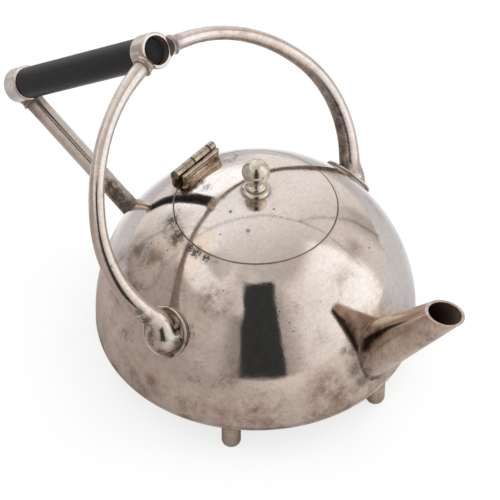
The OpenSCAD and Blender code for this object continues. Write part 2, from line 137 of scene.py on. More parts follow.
def addPiece(name, patches, body, material, node, sharp=38.0):
    # joins the patches in one mesh, closes its seams and poles, and stands it for its CAD node
    points, faces, grimeAndShade, first = [], [], [], 0
    for p in patches:
        rows, cols = p["grid"].shape[:2]
        points.append(p["grid"].reshape(-1, 3))
        faces.append(gridFaces(rows, cols, p["wrapRows"]) + first)
        grimeAndShade.append(p["grimeAndShade"].reshape(-1))
        first += rows * cols
    xyz = (np.concatenate(points) + np.array(pot["spot"])) * mm
    mesh = bpy.data.meshes.new(name)
    mesh.from_pydata(xyz.tolist(), [], np.concatenate(faces).tolist())
    dirtAndShade = mesh.attributes.new("grimeAndShade", "FLOAT", "POINT")
    dirtAndShade.data.foreach_set("value", np.concatenate(grimeAndShade).astype(np.float32))
    bm = bmesh.new()
    bm.from_mesh(mesh)
    bmesh.ops.remove_doubles(bm, verts=bm.verts, dist=0.002 * mm)
    bmesh.ops.dissolve_degenerate(bm, edges=bm.edges, dist=0.0001 * mm)
    bmesh.ops.recalc_face_normals(bm, faces=bm.faces)
    bm.to_mesh(mesh)
    bm.free()
    mesh.shade_smooth()
    mesh.set_sharp_from_angle(angle=math.radians(sharp))
    mesh.materials.append(material)
    piece = bpy.data.objects.new(name, mesh)
    scene.collection.objects.link(piece)
    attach(piece, body)
    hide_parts(node)


# shader maths as expressions

class Wire:
    # one output socket; sums and products on it add Math nodes
    def __init__(self, graph, socket):
        self.graph, self.socket = graph, socket

    def math(self, operation, *others, clamp=False):
        inputs = dict(enumerate((self,) + others))
        return self.graph.node("ShaderNodeMath", {"operation": operation, "use_clamp": clamp}, inputs)[0]

    def __add__(self, other):
        return self.math("ADD", other)

    def __radd__(self, other):
        return self.math("ADD", other)

    def __sub__(self, other):
        return self.math("SUBTRACT", other)

    def __rsub__(self, other):
        return self.graph.node("ShaderNodeMath", {"operation": "SUBTRACT"}, {0: other, 1: self})[0]

    def __mul__(self, other):
        return self.math("MULTIPLY", other)

    def __rmul__(self, other):
        return self.math("MULTIPLY", other)

    def __truediv__(self, other):
        return self.math("DIVIDE", other)

    def __rtruediv__(self, other):
        return self.graph.node("ShaderNodeMath", {"operation": "DIVIDE"}, {0: other, 1: self})[0]

    def __pow__(self, other):
        return self.math("POWER", other)

    def clip(self):
        return self.math("ADD", 0.0, clamp=True)

    def larger(self, other):
        return self.math("MAXIMUM", other)

    def away(self):
        return self.math("ABSOLUTE")

    def rise(self, low, high):
        # 0 below low, 1 above high, with a soft S between them
        limits = {0: self, 1: low, 2: high, 3: 0.0, 4: 1.0}
        return self.graph.node("ShaderNodeMapRange", {"interpolation_type": "SMOOTHSTEP"}, limits)[0]


class Graph:
    # the node tree of one material or world
    def __init__(self, tree):
        self.tree = tree
        tree.nodes.clear()

    def node(self, kind, settings=None, values=None):
        made = self.tree.nodes.new(kind)
        for key, value in (settings or {}).items():
            setattr(made, key, value)
        for key, value in (values or {}).items():
            if isinstance(value, Wire):
                self.tree.links.new(value.socket, made.inputs[key])
            else:
                made.inputs[key].default_value = value
        return [Wire(self, s) for s in made.outputs]

    def blend(self, factor, a, b):
        # colour a where the factor is 0 and colour b where it is 1
        a, b = ((*x, 1.0) if isinstance(x, tuple) and len(x) == 3 else x for x in (a, b))
        return self.node("ShaderNodeMix", {"data_type": "RGBA"}, {0: factor, 6: a, 7: b})[2]

    def vector(self, operation, a, b=None, output=0):
        # output 0 is a vector, 1 is a number
        values = {0: a} if b is None else {0: a, 1: b}
        return self.node("ShaderNodeVectorMath", {"operation": operation}, values)[output]

    def place(self):
        # the object's own coordinates, in metres
        return self.node("ShaderNodeTexCoord")[3]

    def moved(self, scale=(1.0, 1.0, 1.0), turn=(0.0, 0.0, 0.0), shift=(0.0, 0.0, 0.0)):
        # the same coordinates, stretched, turned and shifted
        values = {"Vector": self.place(), "Location": shift, "Rotation": turn, "Scale": scale}
        return self.node("ShaderNodeMapping", None, values)[0]

    def noise(self, where, scale, detail=3.0, rough=0.5, warp=0.0):
        values = {"Vector": where, "Scale": scale, "Detail": detail, "Roughness": rough, "Distortion": warp}
        return self.node("ShaderNodeTexNoise", None, values)[0]

    def cells(self, where, scale):
        # the distance to the nearest of many scattered points
        return self.node("ShaderNodeTexVoronoi", None, {"Vector": where, "Scale": scale})[0]

    def dirtAndShade(self):
        return self.node("ShaderNodeAttribute", {"attribute_name": "grimeAndShade"})[2]

    def bump(self, height, distance, under=None):
        values = {"Height": height, "Distance": distance, "Strength": 1.0}
        if under is not None:
            values["Normal"] = under
        return self.node("ShaderNodeBump", None, values)[0]


def newMaterial(name, tint):
    material = bpy.data.materials.new(name)
    material.use_nodes = True
    material.diffuse_color = (*tint, 1.0)
    return material, Graph(material.node_tree)


def finishMaterial(g, values):
    shader = g.node("ShaderNodeBsdfPrincipled", None, values)[0]
    g.node("ShaderNodeOutputMaterial", None, {"Surface": shader})


def inFrame(spot):
    # a point in the pot's own millimetres as metres in the frame
    return tuple((np.array(spot) + pot["spot"]) * mm)


def nearest(g, where, spots):
    # 1 in the middle of any of the given spots (x, y, z, radius, strength), 0 outside them all
    best = None
    for x, y, z, radius, strength in spots:
        away = g.vector("DISTANCE", where, inFrame((x, y, z)), 1)
        mask = (1.0 - away.rise(0.15 * radius * mm, radius * mm)) * strength
        best = mask if best is None else best.larger(mask)
    return best


def strokes(g, where, lines):
    # 1 along thin straight lines: a point p is |p - a - t (b - a)| from the line a to b,
    # with t held between 0 and 1
    best = None
    for start, end, width in lines:
        span = np.array(inFrame(end)) - np.array(inFrame(start))
        off = g.vector("SUBTRACT", where, inFrame(start))
        along = g.vector("DOT_PRODUCT", off, tuple(span / np.dot(span, span)), 1).clip()
        nearSpot = g.node("ShaderNodeVectorMath", {"operation": "SCALE"}, {0: tuple(span), "Scale": along})[0]
        away = g.vector("DISTANCE", off, nearSpot, 1)
        mask = 1.0 - away.rise(0.3 * width * mm, width * mm)
        best = mask if best is None else best.larger(mask)
    return best


# what all the silver shares: how fine its noises are, and the colours of its deeper marks, with a painted
# shadow for the scratches' edges
plate = {"grain": 420.0, "fine": 1500.0, "grit": 260.0, "crust": 330.0, "hair": 1400.0, "crossHair": 1100.0,
         "verdigris": (0.045, 0.085, 0.065), "scratchEdgeShadow": (0.22, 0.14, 0.08),
         "scratchMiddle": (1.0, 0.95, 0.84), "hairDepth": 0.000012, "pitDepth": 0.00003}


def staining(g, where, look, medium, grain):
    # brown clouds: broken patches everywhere, fuller round the stained spots and low on the body
    patches = g.noise(g.moved(shift=(0.05, 0.4, 0.2)), look["hazeScale"] * 0.8, 2.0).rise(0.36, 0.66)
    cloud = medium.rise(0.5, 0.72) * patches
    local = nearest(g, where, look["stains"]) if "stains" in look else None
    if "lowStain" in look:
        bottom, top, strength = look["lowStain"]
        height = g.node("ShaderNodeSeparateXYZ", None, {0: where})[2]
        low = (1.0 - height.rise(bottom, top)) * strength
        local = low if local is None else local.larger(low)
    if local is not None:
        cloud = cloud.larger((local * (0.25 + 1.5 * medium.rise(0.38, 0.66)) * (0.55 + 0.6 * grain)).clip())
    return (cloud * look["cloud"]).clip()


def silverMaterial(name, look):
    # old silver plate: a mirror under pinkish haze, brown clouds, dark specks, hairlines, and dirt that also
    # carries painted shade
    material, g = newMaterial(name, look["clean"])
    where = g.place()
    brown = look["cloudColour"]
    broad = g.noise(where, look["hazeScale"], 4.0, 0.55, 0.4)
    medium = g.noise(g.moved(shift=(0.31, 0.12, 0.07)), look["cloudScale"], 9.0, 0.72, 0.25)
    grain = g.noise(where, plate["grain"], 4.0, 0.7)
    fine = g.noise(where, plate["fine"], 2.0, 0.6)

    # haze, clouds and mottling
    haze = (broad.rise(0.3, 0.7) * 0.7 + grain.rise(0.35, 0.7) * 0.3) * look["haze"]
    cloud = staining(g, where, look, medium, grain)
    darker = tuple(0.6 * c for c in brown)
    mottle = look["mottle"] * (0.6 * grain.rise(0.3, 0.75) + 0.4 * fine.rise(0.3, 0.8))
    colour = g.blend(haze, look["clean"], look["hazeColour"])
    colour = g.blend(cloud, colour, g.blend(fine.rise(0.35, 0.65), brown, darker))
    colour = g.blend(mottle, colour, brown)
    if "streak" in look:
        stretch, turn, scale, amount = look["streak"]
        along = g.noise(g.moved(scale=stretch, turn=turn), scale, 4.0, 0.7)
        colour = g.blend((along.rise(0.42, 0.7) * amount).clip(), colour, brown)

    # patches of a colour of their own, broken up by the grain
    for spots, tint, broken in look.get("tints", []):
        patchy = nearest(g, where, spots) * (0.35 + 1.1 * medium.rise(0.34, 0.6)) * (0.6 + 0.5 * grain)
        if broken:
            patchy = patchy * (1.0 - broken + 1.8 * broken * (0.5 * grain + 0.5 * fine).rise(0.44, 0.56))
        colour = g.blend(patchy.clip(), colour, tint)
    if "rim" in look:
        low, high, tint = look["rim"]
        flat = g.vector("MULTIPLY", where, (1.0, 1.0, 0.0))
        out = g.vector("DISTANCE", flat, (pot["spot"][0] * mm, 0.0, 0.0), 1)
        colour = g.blend(out.rise(low * mm, high * mm) * (0.6 + 0.5 * grain), colour, tint)

    # verdigris, specks, pits, and dirt that also carries painted shade
    dirtAndShade = (g.dirtAndShade() * (0.5 + 1.0 * g.noise(where, plate["grit"], 5.0, 0.7))).rise(0.15, 0.8)
    if "verdigris" in look:
        crust = g.noise(where, plate["crust"], 4.0, 0.7).rise(0.36, 0.56)
        green = (nearest(g, where, look["verdigris"]) * crust).clip()
        colour = g.blend(green * 0.85, colour, plate["verdigris"])
        dirtAndShade = dirtAndShade.larger(green)
    scattered = g.noise(where, look["hazeScale"] * 3.0, 2.0).rise(0.55, 0.7)
    specks = (1.0 - g.cells(where, look["speckScale"]).rise(0.05, look["speckSize"])) * scattered
    if "pits" in look:
        specks = specks.larger(nearest(g, where, look["pits"]))
    colour = g.blend((specks * look["speck"]).clip(), colour, look["speckColour"])
    colour = g.blend((dirtAndShade * look["dirtAndShade"]).clip(), colour, look["dirtAndShadeColour"])

    # hairlines in two directions, then the few deep scratches with a painted shadow along their edges
    hair = g.noise(g.moved(scale=(1.0, 0.06, 1.0), turn=(0.3, 0.2, 0.9)), plate["hair"], 2.0, 0.7)
    crossHair = g.noise(g.moved(scale=(0.05, 1.0, 1.0), turn=(0.1, 0.4, -0.5)), plate["crossHair"], 2.0, 0.7)
    hairlines = hair.rise(0.58, 0.7).larger(crossHair.rise(0.58, 0.7))
    colour = g.blend(hairlines * look["hair"], colour, brown)
    if "scratches" in look:
        deep = strokes(g, where, look["scratches"])
        # painted shadow along each deep scratch's edges, then its bright cream middle
        colour = g.blend(deep.rise(0.0, 0.35) * 0.8, colour, plate["scratchEdgeShadow"])
        colour = g.blend(deep.rise(0.45, 0.7), colour, plate["scratchMiddle"])

    rough = look["rough"] + 0.06 * haze + 0.22 * cloud + 0.35 * dirtAndShade + 0.05 * hair.rise(0.5, 0.8)
    normal = g.bump(g.noise(where, look["dentScale"], 2.0, 0.4), look["dentDepth"])
    normal = g.bump(hair + crossHair, plate["hairDepth"], normal)
    normal = g.bump(specks + 0.6 * cloud * grain, -plate["pitDepth"], normal)
    finishMaterial(g, {"Base Color": colour, "Metallic": 1.0 - 0.6 * dirtAndShade * look["dirtAndShade"],
                       "Roughness": rough.clip(), "Normal": normal})
    return material


# Marks are spots (x, y, z, radius, strength) in the pot's own millimetres.
# brown stains: over the near arm's foot, along the left, round the lid and hinge, behind the spout,
# round the handle's three roots, low on the right and front, and round the finial
bodyStains = [
    (18.4, -52.4, 60.3, 13, 1.0), (14.0, -60.0, 48.0, 12, 0.6),
    (-22.9, -52.0, 59.0, 15, 1.0), (-36.3, -47.9, 55.5, 13, 1.0), (-22.2, -62.0, 48.1, 11, 0.9),
    (-31.4, -57.4, 48.8, 9, 0.8), (-44.0, -49.0, 48.0, 8, 0.6), (-32.3, -62.7, 40.6, 13, 0.6),
    (-14.0, -40.5, 69.9, 9, 1.0), (-22.0, -36.5, 70.2, 8, 0.9), (-34.0, -14.0, 73.5, 9, 1.0),
    (-28.5, -9.5, 76.9, 5, 1.0), (-45.0, 0.0, 68.8, 13, 0.7), (-30.0, 14.5, 75.6, 12, 1.0),
    (-27.0, 16.0, 75.9, 6, 1.0), (58.0, -3.1, 57.8, 13, 0.45), (51.1, 13.9, 62.7, 10, 0.5),
    (76.7, 0.0, 25.4, 34, 0.75), (2.2, 70.1, 41.5, 21, 0.7), (2.2, -70.1, 41.5, 21, 0.8),
    (-78.6, 0.0, 17.7, 17, 1.0), (70.0, -33.0, 18.0, 18, 0.7), (74.9, -26.5, 11.5, 12, 0.9),
    (52.0, -59.3, 12.9, 10, 0.7), (27.1, -74.3, 12.5, 9, 0.6), (-0.5, -79.2, 13.6, 9, 0.6),
    (0.0, 0.0, 82.7, 11.5, 0.9), (3.0, -7.0, 82.2, 8, 0.9)]
bodyPits = [(-1.1, -17.7, 80.8, 1.3, 1.0), (14.2, -3.6, 81.4, 0.9, 1.0), (12.6, -20.9, 78.9, 1.7, 0.8),
            (50.5, -36.0, 53.0, 0.8, 0.8), (-57.0, -55.0, 19.0, 0.9, 0.8)]
bodyVerdigris = [(-16.0, -41.0, 69.5, 6, 0.7), (-26.0, -31.5, 71.3, 5, 0.6), (71.0, -19.5, 34.0, 3, 0.4)]
# the scratches beside the finial: both ends and the half width of each
scratches = [((16.7, -5.3, 80.8), (17.2, -1.1, 80.9), 0.55), ((15.9, -3.1, 81.1), (15.9, -1.4, 81.1), 0.4),
             ((18.1, -4.4, 80.5), (20.7, -2.4, 80.0), 0.4), ((20.7, -5.3, 79.8), (20.8, -1.8, 80.0), 0.45),
             ((21.5, -4.8, 79.6), (21.6, -2.2, 79.7), 0.5)]
# the low stain fades out between two heights, in metres; the last value is its strength
bodyMarks = {"stains": bodyStains, "lowStain": (0.019, 0.052, 0.62), "pits": bodyPits,
             "verdigris": bodyVerdigris, "scratches": scratches}

# a tint is a list of spots, their colour and how broken up they are, 0 to 1
darkSpots = [
    (-24.9, -32.5, 71.4, 5.0, 1.0), (-20.9, -34.9, 71.6, 5.0, 1.0), (-17.0, -38.0, 71.0, 5.0, 1.0),
    (-26.9, -36.1, 68.8, 6.0, 0.4), (-6.5, -41.4, 70.9, 4.0, 0.8), (-2.4, -41.7, 71.0, 4.5, 0.9),
    (4.1, -42.0, 70.7, 4.0, 0.7), (9.1, -41.3, 70.6, 3.0, 0.5), (-26.8, -27.5, 73.4, 4.0, 0.6),
    (-28.2, -8.5, 77.1, 3.5, 0.9), (-21.6, -11.0, 79.0, 4.0, 0.6), (-29.2, -12.5, 76.1, 4.0, 0.9),
    (-27.0, 14.0, 76.3, 4.5, 0.9), (-29.0, 18.0, 74.8, 4.0, 0.7), (13.3, -64.2, 48.5, 2.2, 0.8),
    (15.4, -66.0, 45.2, 2.4, 0.7)]
besideSpout = [(71.0, 4.1, 39.5, 8, 0.4), (68.0, 8.0, 42.7, 7, 0.4), (62.0, 14.0, 48.0, 8, 0.3)]
belowSeam = [(-12.6, -43.9, 69.0, 9, 0.7), (-3.0, -46.0, 68.2, 9, 0.55), (-1.8, -35.8, 74.3, 8, 0.6),
             (-22.0, -44.0, 66.0, 9, 0.4)]
overSpout = [(70.5, -2.8, 40.3, 6, 0.5), (69.4, -11.3, 40.9, 6, 0.6), (65.5, -12.0, 47.1, 6, 0.5),
             (61.7, -12.8, 52.1, 5, 0.4)]
spoutRoot = [(76.6, -16.2, 21.8, 7.0, 0.75), (78.8, -13.0, 12.5, 7.0, 0.75), (73.6, -14.8, 31.5, 5.0, 0.6)]
bodyTints = [(besideSpout, (0.66, 0.52, 0.34), 0.6), (belowSeam, (0.88, 0.70, 0.545), 0.3),
             (overSpout, (0.42, 0.31, 0.235), 0.2), (spoutRoot, (0.22, 0.19, 0.18), 0.1),
             (darkSpots, (0.10, 0.09, 0.075), 0.9)]
bodyLook = {
    "clean": (0.885, 0.795, 0.730), "haze": 0.5, "hazeColour": (0.57, 0.455, 0.39), "hazeScale": 17.0,
    "mottle": 0.16, "cloud": 0.82, "cloudColour": (0.27, 0.17, 0.12), "cloudScale": 75.0,
    "speck": 0.9, "speckColour": (0.09, 0.065, 0.05), "speckScale": 210.0, "speckSize": 0.14,
    "dirtAndShade": 0.85, "dirtAndShadeColour": (0.10, 0.07, 0.05), "rough": 0.045, "dentScale": 30.0, "dentDepth": 0.0005,
    "hair": 0.2, "tints": bodyTints, **bodyMarks}
plainLook = {k: v for k, v in bodyLook.items() if k not in bodyMarks and k != "tints"}
lidLook = dict(bodyLook, clean=(0.885, 0.80, 0.745), haze=0.36, mottle=0.10, cloud=0.6,
               rim=(39.25, 39.5, (0.50, 0.41, 0.32)))
lidLook.pop("lowStain")

# the handle: dark brown in the grooves of both pads, at the strut's foot and behind the far arm, and a
# painted dark reflection on the near foot
nearGroove = [(6.1, -78.7, 37.5, 4.5, 1.0), (9.4, -75.4, 34.2, 4.0, 0.9), (1.7, -80.8, 41.0, 4.0, 0.8),
              (11.4, -70.0, 42.0, 5.0, 0.9)]
strutFoot = [(-83.0, -3.0, 23.0, 6, 1.0), (-87.0, -2.4, 27.2, 5, 1.0), (-90.0, -3.0, 26.0, 5, 0.9),
             (-96.0, -3.0, 30.0, 5, 0.8)]
farArm = [(-7.7, 73.8, 58.8, 5, 0.9), (-4.2, 71.1, 56.0, 5, 1.0), (-3.0, 69.0, 52.0, 5, 0.9),
          (-8.7, 75.7, 65.1, 5, 0.8), (-11.2, 77.1, 69.4, 5, 0.7), (-14.2, 78.2, 74.3, 5, 0.5)]
# a painted dark reflection on the near foot's shoulder
nearFootPaintedReflection = [(5.2, -69.2, 47.8, 3.5, 0.9), (8.5, -70.0, 45.5, 4.5, 1.0), (10.5, -71.2, 42.5, 4.5, 1.0),
            (11.0, -72.6, 39.6, 4, 0.9)]
handleTints = [(nearGroove, (0.10, 0.075, 0.055), 0.3), (strutFoot, (0.10, 0.075, 0.05), 0.5),
               (farArm, (0.20, 0.125, 0.09), 0.8), (nearFootPaintedReflection, (0.10, 0.10, 0.08), 0.25)]
handleStains = [
    (-78.6, 0.0, 17.7, 22, 1.0), (-97.0, 0.0, 27.5, 20, 0.8), (-145.0, 0.0, 54.0, 14, 0.8),
    (2.2, -72.0, 41.5, 15, 0.5), (1.5, 73.0, 42.0, 15, 0.6), (-3.5, 71.8, 57.9, 9, 0.8),
    (-2.1, 68.6, 52.1, 7, 0.8), (-9.7, 75.4, 63.3, 9, 0.7), (-62.8, 10.0, 135.2, 9, 0.7),
    (-62.8, -10.0, 135.2, 9, 0.5)]
handleVerdigris = [(-1.2, -82.0, 56.0, 5, 1.0), (-0.8, -81.2, 50.6, 6, 1.0), (0.6, -80.8, 46.5, 5.5, 1.0),
                   (-3.4, -82.3, 61.0, 4, 0.7), (-93.3, -2.0, 30.9, 4.5, 1.0), (-89.8, -2.2, 28.9, 4, 1.0)]
handleLook = dict(plainLook, haze=0.55, cloud=0.8, rough=0.10, dentDepth=0.0003, hazeScale=34.0,
                  cloudScale=120.0, mottle=0.22, stains=handleStains, tints=handleTints,
                  verdigris=handleVerdigris)

# the spout: a painted dark reflection as a streak along its upper side, browner at the mouth, paler on top
# and underneath
paintedDarkReflection = [(77.5, -8.4, 39.1, 6, 0.95), (81.7, -7.1, 45.1, 6, 0.95), (84.7, -5.0, 50.2, 5.5, 0.9),
              (87.8, -2.4, 55.0, 5, 0.8)]
brownMouth = [(114.1, -3.6, 59.3, 9, 0.9), (108.0, -5.1, 51.5, 7, 0.6), (110.0, -7.5, 63.0, 6, 0.6)]
paleTop = [(90.5, -2.1, 57.9, 11, 0.8), (98.0, -2.0, 65.0, 9, 0.6), (83.0, -4.0, 52.0, 8, 0.7)]
paleUnder = [(84.2, -7.4, 18.3, 9, 0.6), (91.0, -4.8, 25.8, 11, 0.55), (99.0, -4.0, 36.0, 9, 0.4)]
darkRoot = [(80.5, -12.5, 20.0, 5, 0.8), (79.0, -12.0, 34.0, 5, 0.6)]
# the first tint is the painted dark reflection along the spout's upper side
spoutTints = [(paintedDarkReflection, (0.17, 0.115, 0.09), 0.0), (brownMouth, (0.24, 0.15, 0.135), 0.4),
              (paleTop, (0.62, 0.48, 0.37), 0.0), (paleUnder, (0.78, 0.69, 0.64), 0.0),
              (darkRoot, (0.16, 0.11, 0.08), 0.3)]
# a streak is its stretch, its turn, its scale and its amount
spoutLook = dict(plainLook, clean=(0.74, 0.63, 0.555), haze=0.62, hazeColour=(0.42, 0.30, 0.235), cloud=0.8,
                 rough=0.085, hazeScale=34.0, mottle=0.3, tints=spoutTints, cloudScale=110.0,
                 streak=((1.0, 1.0, 0.06), (0.0, math.radians(-38.7), 0.0), 900.0, 0.45))
solderTints = [([(76.1, -14.4, 22.8, 6, 1.0), (78.7, -12.1, 16.3, 6, 1.0), (79.5, -6.4, 9.0, 6, 1.0)],
                (0.13, 0.14, 0.155), 0.0)]
solderLook = dict(plainLook, clean=(0.60, 0.47, 0.34), haze=0.8, hazeColour=(0.36, 0.26, 0.17), cloud=0.8,
                  cloudScale=260.0, hazeScale=90.0, rough=0.25, tints=solderTints, dentScale=220.0,
                  dentDepth=0.0008)

footLook = dict(plainLook, clean=(0.68, 0.575, 0.515), haze=0.85, hazeColour=(0.40, 0.31, 0.26), cloud=0.85,
                rough=0.24, cloudScale=190.0, hazeScale=80.0, mottle=0.4)
finialLook = dict(plainLook, clean=(0.84, 0.775, 0.66), haze=0.5, hazeColour=(0.55, 0.45, 0.34), cloud=0.6,
                  cloudScale=230.0, hazeScale=120.0, rough=0.15, dentDepth=0.0001)
hingeLook = dict(plainLook, clean=(0.66, 0.585, 0.45), haze=0.8, hazeColour=(0.34, 0.265, 0.175), cloud=1.0,
                 cloudScale=330.0, hazeScale=150.0, rough=0.15, dentDepth=0.0001, mottle=0.45,
                 streak=((1.0, 0.09, 1.0), (0.0, 0.0, 0.0), 1100.0, 0.8))

silverBody = silverMaterial("worn_silver_body", bodyLook)
silverLid = silverMaterial("worn_silver_lid", lidLook)
silverHandle = silverMaterial("worn_silver_handle", handleLook)
silverSpout = silverMaterial("browned_silver_spout", spoutLook)
silverFoot = silverMaterial("dark_silver_feet", footLook)
silverFinial = silverMaterial("warm_silver_finial", finialLook)
dullBrass = silverMaterial("dull_brass_hinge", hingeLook)
greySolder = silverMaterial("grey_solder", solderLook)

wood = {"stretch": (1.0, 12.0, 1.0), "turn": (0.0, math.radians(38.7), 0.0), "grain": 160.0, "blotch": 60.0,
        "dark": (0.004, 0.004, 0.005), "light": (0.012, 0.012, 0.0125), "worn": (0.020, 0.019, 0.019),
        "depth": 0.00006, "specular": 0.3}


def ebonyMaterial(name):
    # black turned wood: a fine grain along the bar and a soft sheen
    material, g = newMaterial(name, (0.02, 0.02, 0.02))
    along = g.moved(scale=wood["stretch"], turn=wood["turn"])
    grain = g.noise(along, wood["grain"], 4.0, 0.6)
    blotch = g.noise(g.place(), wood["blotch"], 3.0)
    colour = g.blend(grain.rise(0.35, 0.75), wood["dark"], wood["light"])
    colour = g.blend(blotch.rise(0.55, 0.8) * 0.5, colour, wood["worn"])
    normal = g.bump(grain, wood["depth"])
    finishMaterial(g, {"Base Color": colour, "Roughness": 0.30 + 0.14 * blotch, "Normal": normal,
                       "Specular IOR Level": wood["specular"]})
    return material


ebony = ebonyMaterial("black_wood")
print("stage: materials made")


def ballPoint(radius, angle):
    # a point of the ball's outline, the angle measured from straight up
    return np.stack([radius * np.sin(angle), pot["ballRise"] + radius * np.cos(angle)], -1)


bodySizes = {"mouth": 39.9, "lip": 0.22, "lipAngle": 0.004, "sides": 256, "rows": 110, "insideRows": 70}
bodyDirt = {"seam": 0.8, "seamWide": 0.45, "foot": 0.5, "footHigh": 3.0, "inside": 0.5}
outer, inner = pot["ballRadius"], pot["ballRadius"] - pot["wall"]
topOut, topIn = math.asin(bodySizes["mouth"] / outer), math.asin(bodySizes["mouth"] / inner)
lowOut, lowIn = math.acos(-pot["ballRise"] / outer), math.acos(-pot["ballRise"] / inner)
skin = ballPoint(outer, np.linspace(lowOut, topOut + bodySizes["lipAngle"], bodySizes["rows"]))
lining = ballPoint(inner, np.linspace(topIn + bodySizes["lipAngle"], lowIn, bodySizes["insideRows"]))
lip = np.array([skin[-1], ballPoint(outer, topOut), ballPoint(inner, topIn), lining[0]])
lip = softCorners(lip, bodySizes["lip"], loop=False)
bodyProfile = np.concatenate([skin, lip[1:-1], lining])
seamDirt = np.exp(-np.abs(bodyProfile[:, 0] - bodySizes["mouth"]) / bodyDirt["seamWide"]) * bodyDirt["seam"]
footDirt = np.exp(-bodyProfile[:, 1] / bodyDirt["footHigh"]) * bodyDirt["foot"]
insideDirt = np.where(np.arange(len(bodyProfile)) > len(skin) + len(lip) - 4, bodyDirt["inside"], 0.0)
bodyGrime = np.maximum.reduce([seamDirt, footDirt, insideDirt])[:, None]
bodyPatch = patch(turned(bodyProfile, bodySizes["sides"]), True, bodyGrime)
addPiece("body", [bodyPatch], "pot", silverBody, "body_shell")

plateSizes = {"rim": 80.15, "thick": 1.4, "grimeAndShade": 0.25}
rim, thick = plateSizes["rim"], plateSizes["thick"]
plateProfile = [(0, 0), (rim - 0.2, 0), (rim, -0.3), (rim - 0.2, -thick), (0, -thick)]
plateProfile = dense(softCorners(plateProfile, [0, 0.1, 0.2, 0.3, 0], loop=False), 4.0)
platePatch = patch(turned(plateProfile, bodySizes["sides"]), False, plateSizes["grimeAndShade"])
addPiece("base", [platePatch], "pot", silverBody, "base_plate")

footSizes = {"radius": 4.7, "round": 3.2, "straightFrom": 4.0, "length": 16.0,
             "bearings": (2.4, 61.0, 121.0, 181.0, 238.5, 300.6),
             "reach": (74.3, 74.3, 71.0, 71.0, 71.0, 74.3)}
footFlat = footSizes["radius"] - footSizes["round"]
footArc = np.linspace(-np.pi / 2, 0, 14)
footLow = np.stack([footFlat + footSizes["round"] * np.cos(footArc),
                    footSizes["round"] * (1 + np.sin(footArc))], 1)
footSide = dense([(footSizes["radius"], footSizes["straightFrom"]),
                  (footSizes["radius"], footSizes["length"])], 2.0)
footProfile = np.concatenate([[(0, 0)], footLow, footSide, [(0, footSizes["length"])]])
footProfile[:, 1] -= footSizes["length"] + plateSizes["thick"]
footGrime = (0.15 + 0.55 * np.exp((footProfile[:, 1] + plateSizes["thick"]) / 2.5))[:, None]
for i, (bearing, reach) in enumerate(zip(footSizes["bearings"], footSizes["reach"])):
    spot = np.array((reach * math.cos(math.radians(bearing)), reach * math.sin(math.radians(bearing)), 0))
    pegPatch = patch(turned(footProfile, 48) + spot, False, footGrime)
    addPiece(f"peg_foot_{i + 1}", [pegPatch], "pot", silverFoot, f"foot_{i + 1}")
print("stage: pot body, base and feet")

spoutSizes = {"mouth": (115.3, 0.0, 73.4), "slope": 51.3, "radius": 7.8, "taper": 0.0766, "wall": 1.2,
              "lip": 0.35, "sunk": 0.2, "sides": 128, "rows": 70}
spoutSlope = math.radians(spoutSizes["slope"])
spoutIn = np.array([-math.cos(spoutSlope), 0.0, -math.sin(spoutSlope)])
spoutDown = np.array([math.sin(spoutSlope), 0.0, -math.cos(spoutSlope)])
mouthSpot = np.array(spoutSizes["mouth"])
roundTheSpout = np.linspace(0, 2 * np.pi, spoutSizes["sides"], endpoint=False)


def spoutPoint(s, thin):
    # s is the distance along the axis from the mouth, thin the wall taken off the radius
    r = spoutSizes["radius"] - thin + spoutSizes["taper"] * s
    aside = np.array([0.0, 1.0, 0.0])
    outward = np.cos(roundTheSpout)[:, None] * spoutDown + np.sin(roundTheSpout)[:, None] * aside
    return mouthSpot + s[..., None] * spoutIn + r[..., None] * outward


def spoutEnds(thin, depth=0.0):
    # where each line of the cone meets the level mouth and, by halving, the ball
    lean = math.cos(spoutSlope) / math.sin(spoutSlope)
    r = spoutSizes["radius"] - thin
    top = -lean * r * np.cos(roundTheSpout) / (1 + lean * spoutSizes["taper"] * np.cos(roundTheSpout))
    low, high = np.full_like(roundTheSpout, 20.0), np.full_like(roundTheSpout, 90.0)
    for _ in range(40):
        middle = (low + high) / 2
        outside = np.linalg.norm(spoutPoint(middle, thin) - ballCentre, axis=1) > pot["ballRadius"] - depth
        low, high = np.where(outside, middle, low), np.where(outside, high, middle)
    return top, low


topOuter, rootOuter = spoutEnds(0.0, spoutSizes["sunk"])
topInner, rootInner = spoutEnds(spoutSizes["wall"], spoutSizes["sunk"])
down = np.linspace(0, 1, spoutSizes["rows"])[:, None]
lipLong = spoutSizes["lip"]
outerWall = spoutPoint(topOuter + lipLong + (rootOuter - topOuter - lipLong) * down, 0.0)
innerWall = spoutPoint(topInner + lipLong + (rootInner - topInner - lipLong) * down, spoutSizes["wall"])
rimOut, rimIn = spoutPoint(topOuter, 0.0), spoutPoint(topInner, spoutSizes["wall"])
# the mouth's rim goes over from the outer wall to the inner one in five rows
rimRows = np.stack([outerWall[0] * 0.3 + rimOut * 0.7, rimOut * 0.8 + rimIn * 0.2, rimOut * 0.5 + rimIn * 0.5,
                    rimOut * 0.2 + rimIn * 0.8, innerWall[0] * 0.3 + rimIn * 0.7])
spoutGrid = np.concatenate([outerWall[::-1], rimRows, innerWall])
outerDirt = np.exp(-(1 - down[::-1, 0]) * 18.0) * 0.7
innerDirt = np.clip(0.45 + 3.0 * down[:, 0], 0, 1)
spoutGrime = np.concatenate([outerDirt, np.zeros(len(rimRows)), innerDirt])[:, None]
addPiece("pouring_spout", [patch(spoutGrid, True, spoutGrime)], "pot", silverSpout, "spout",
         sharp=60)

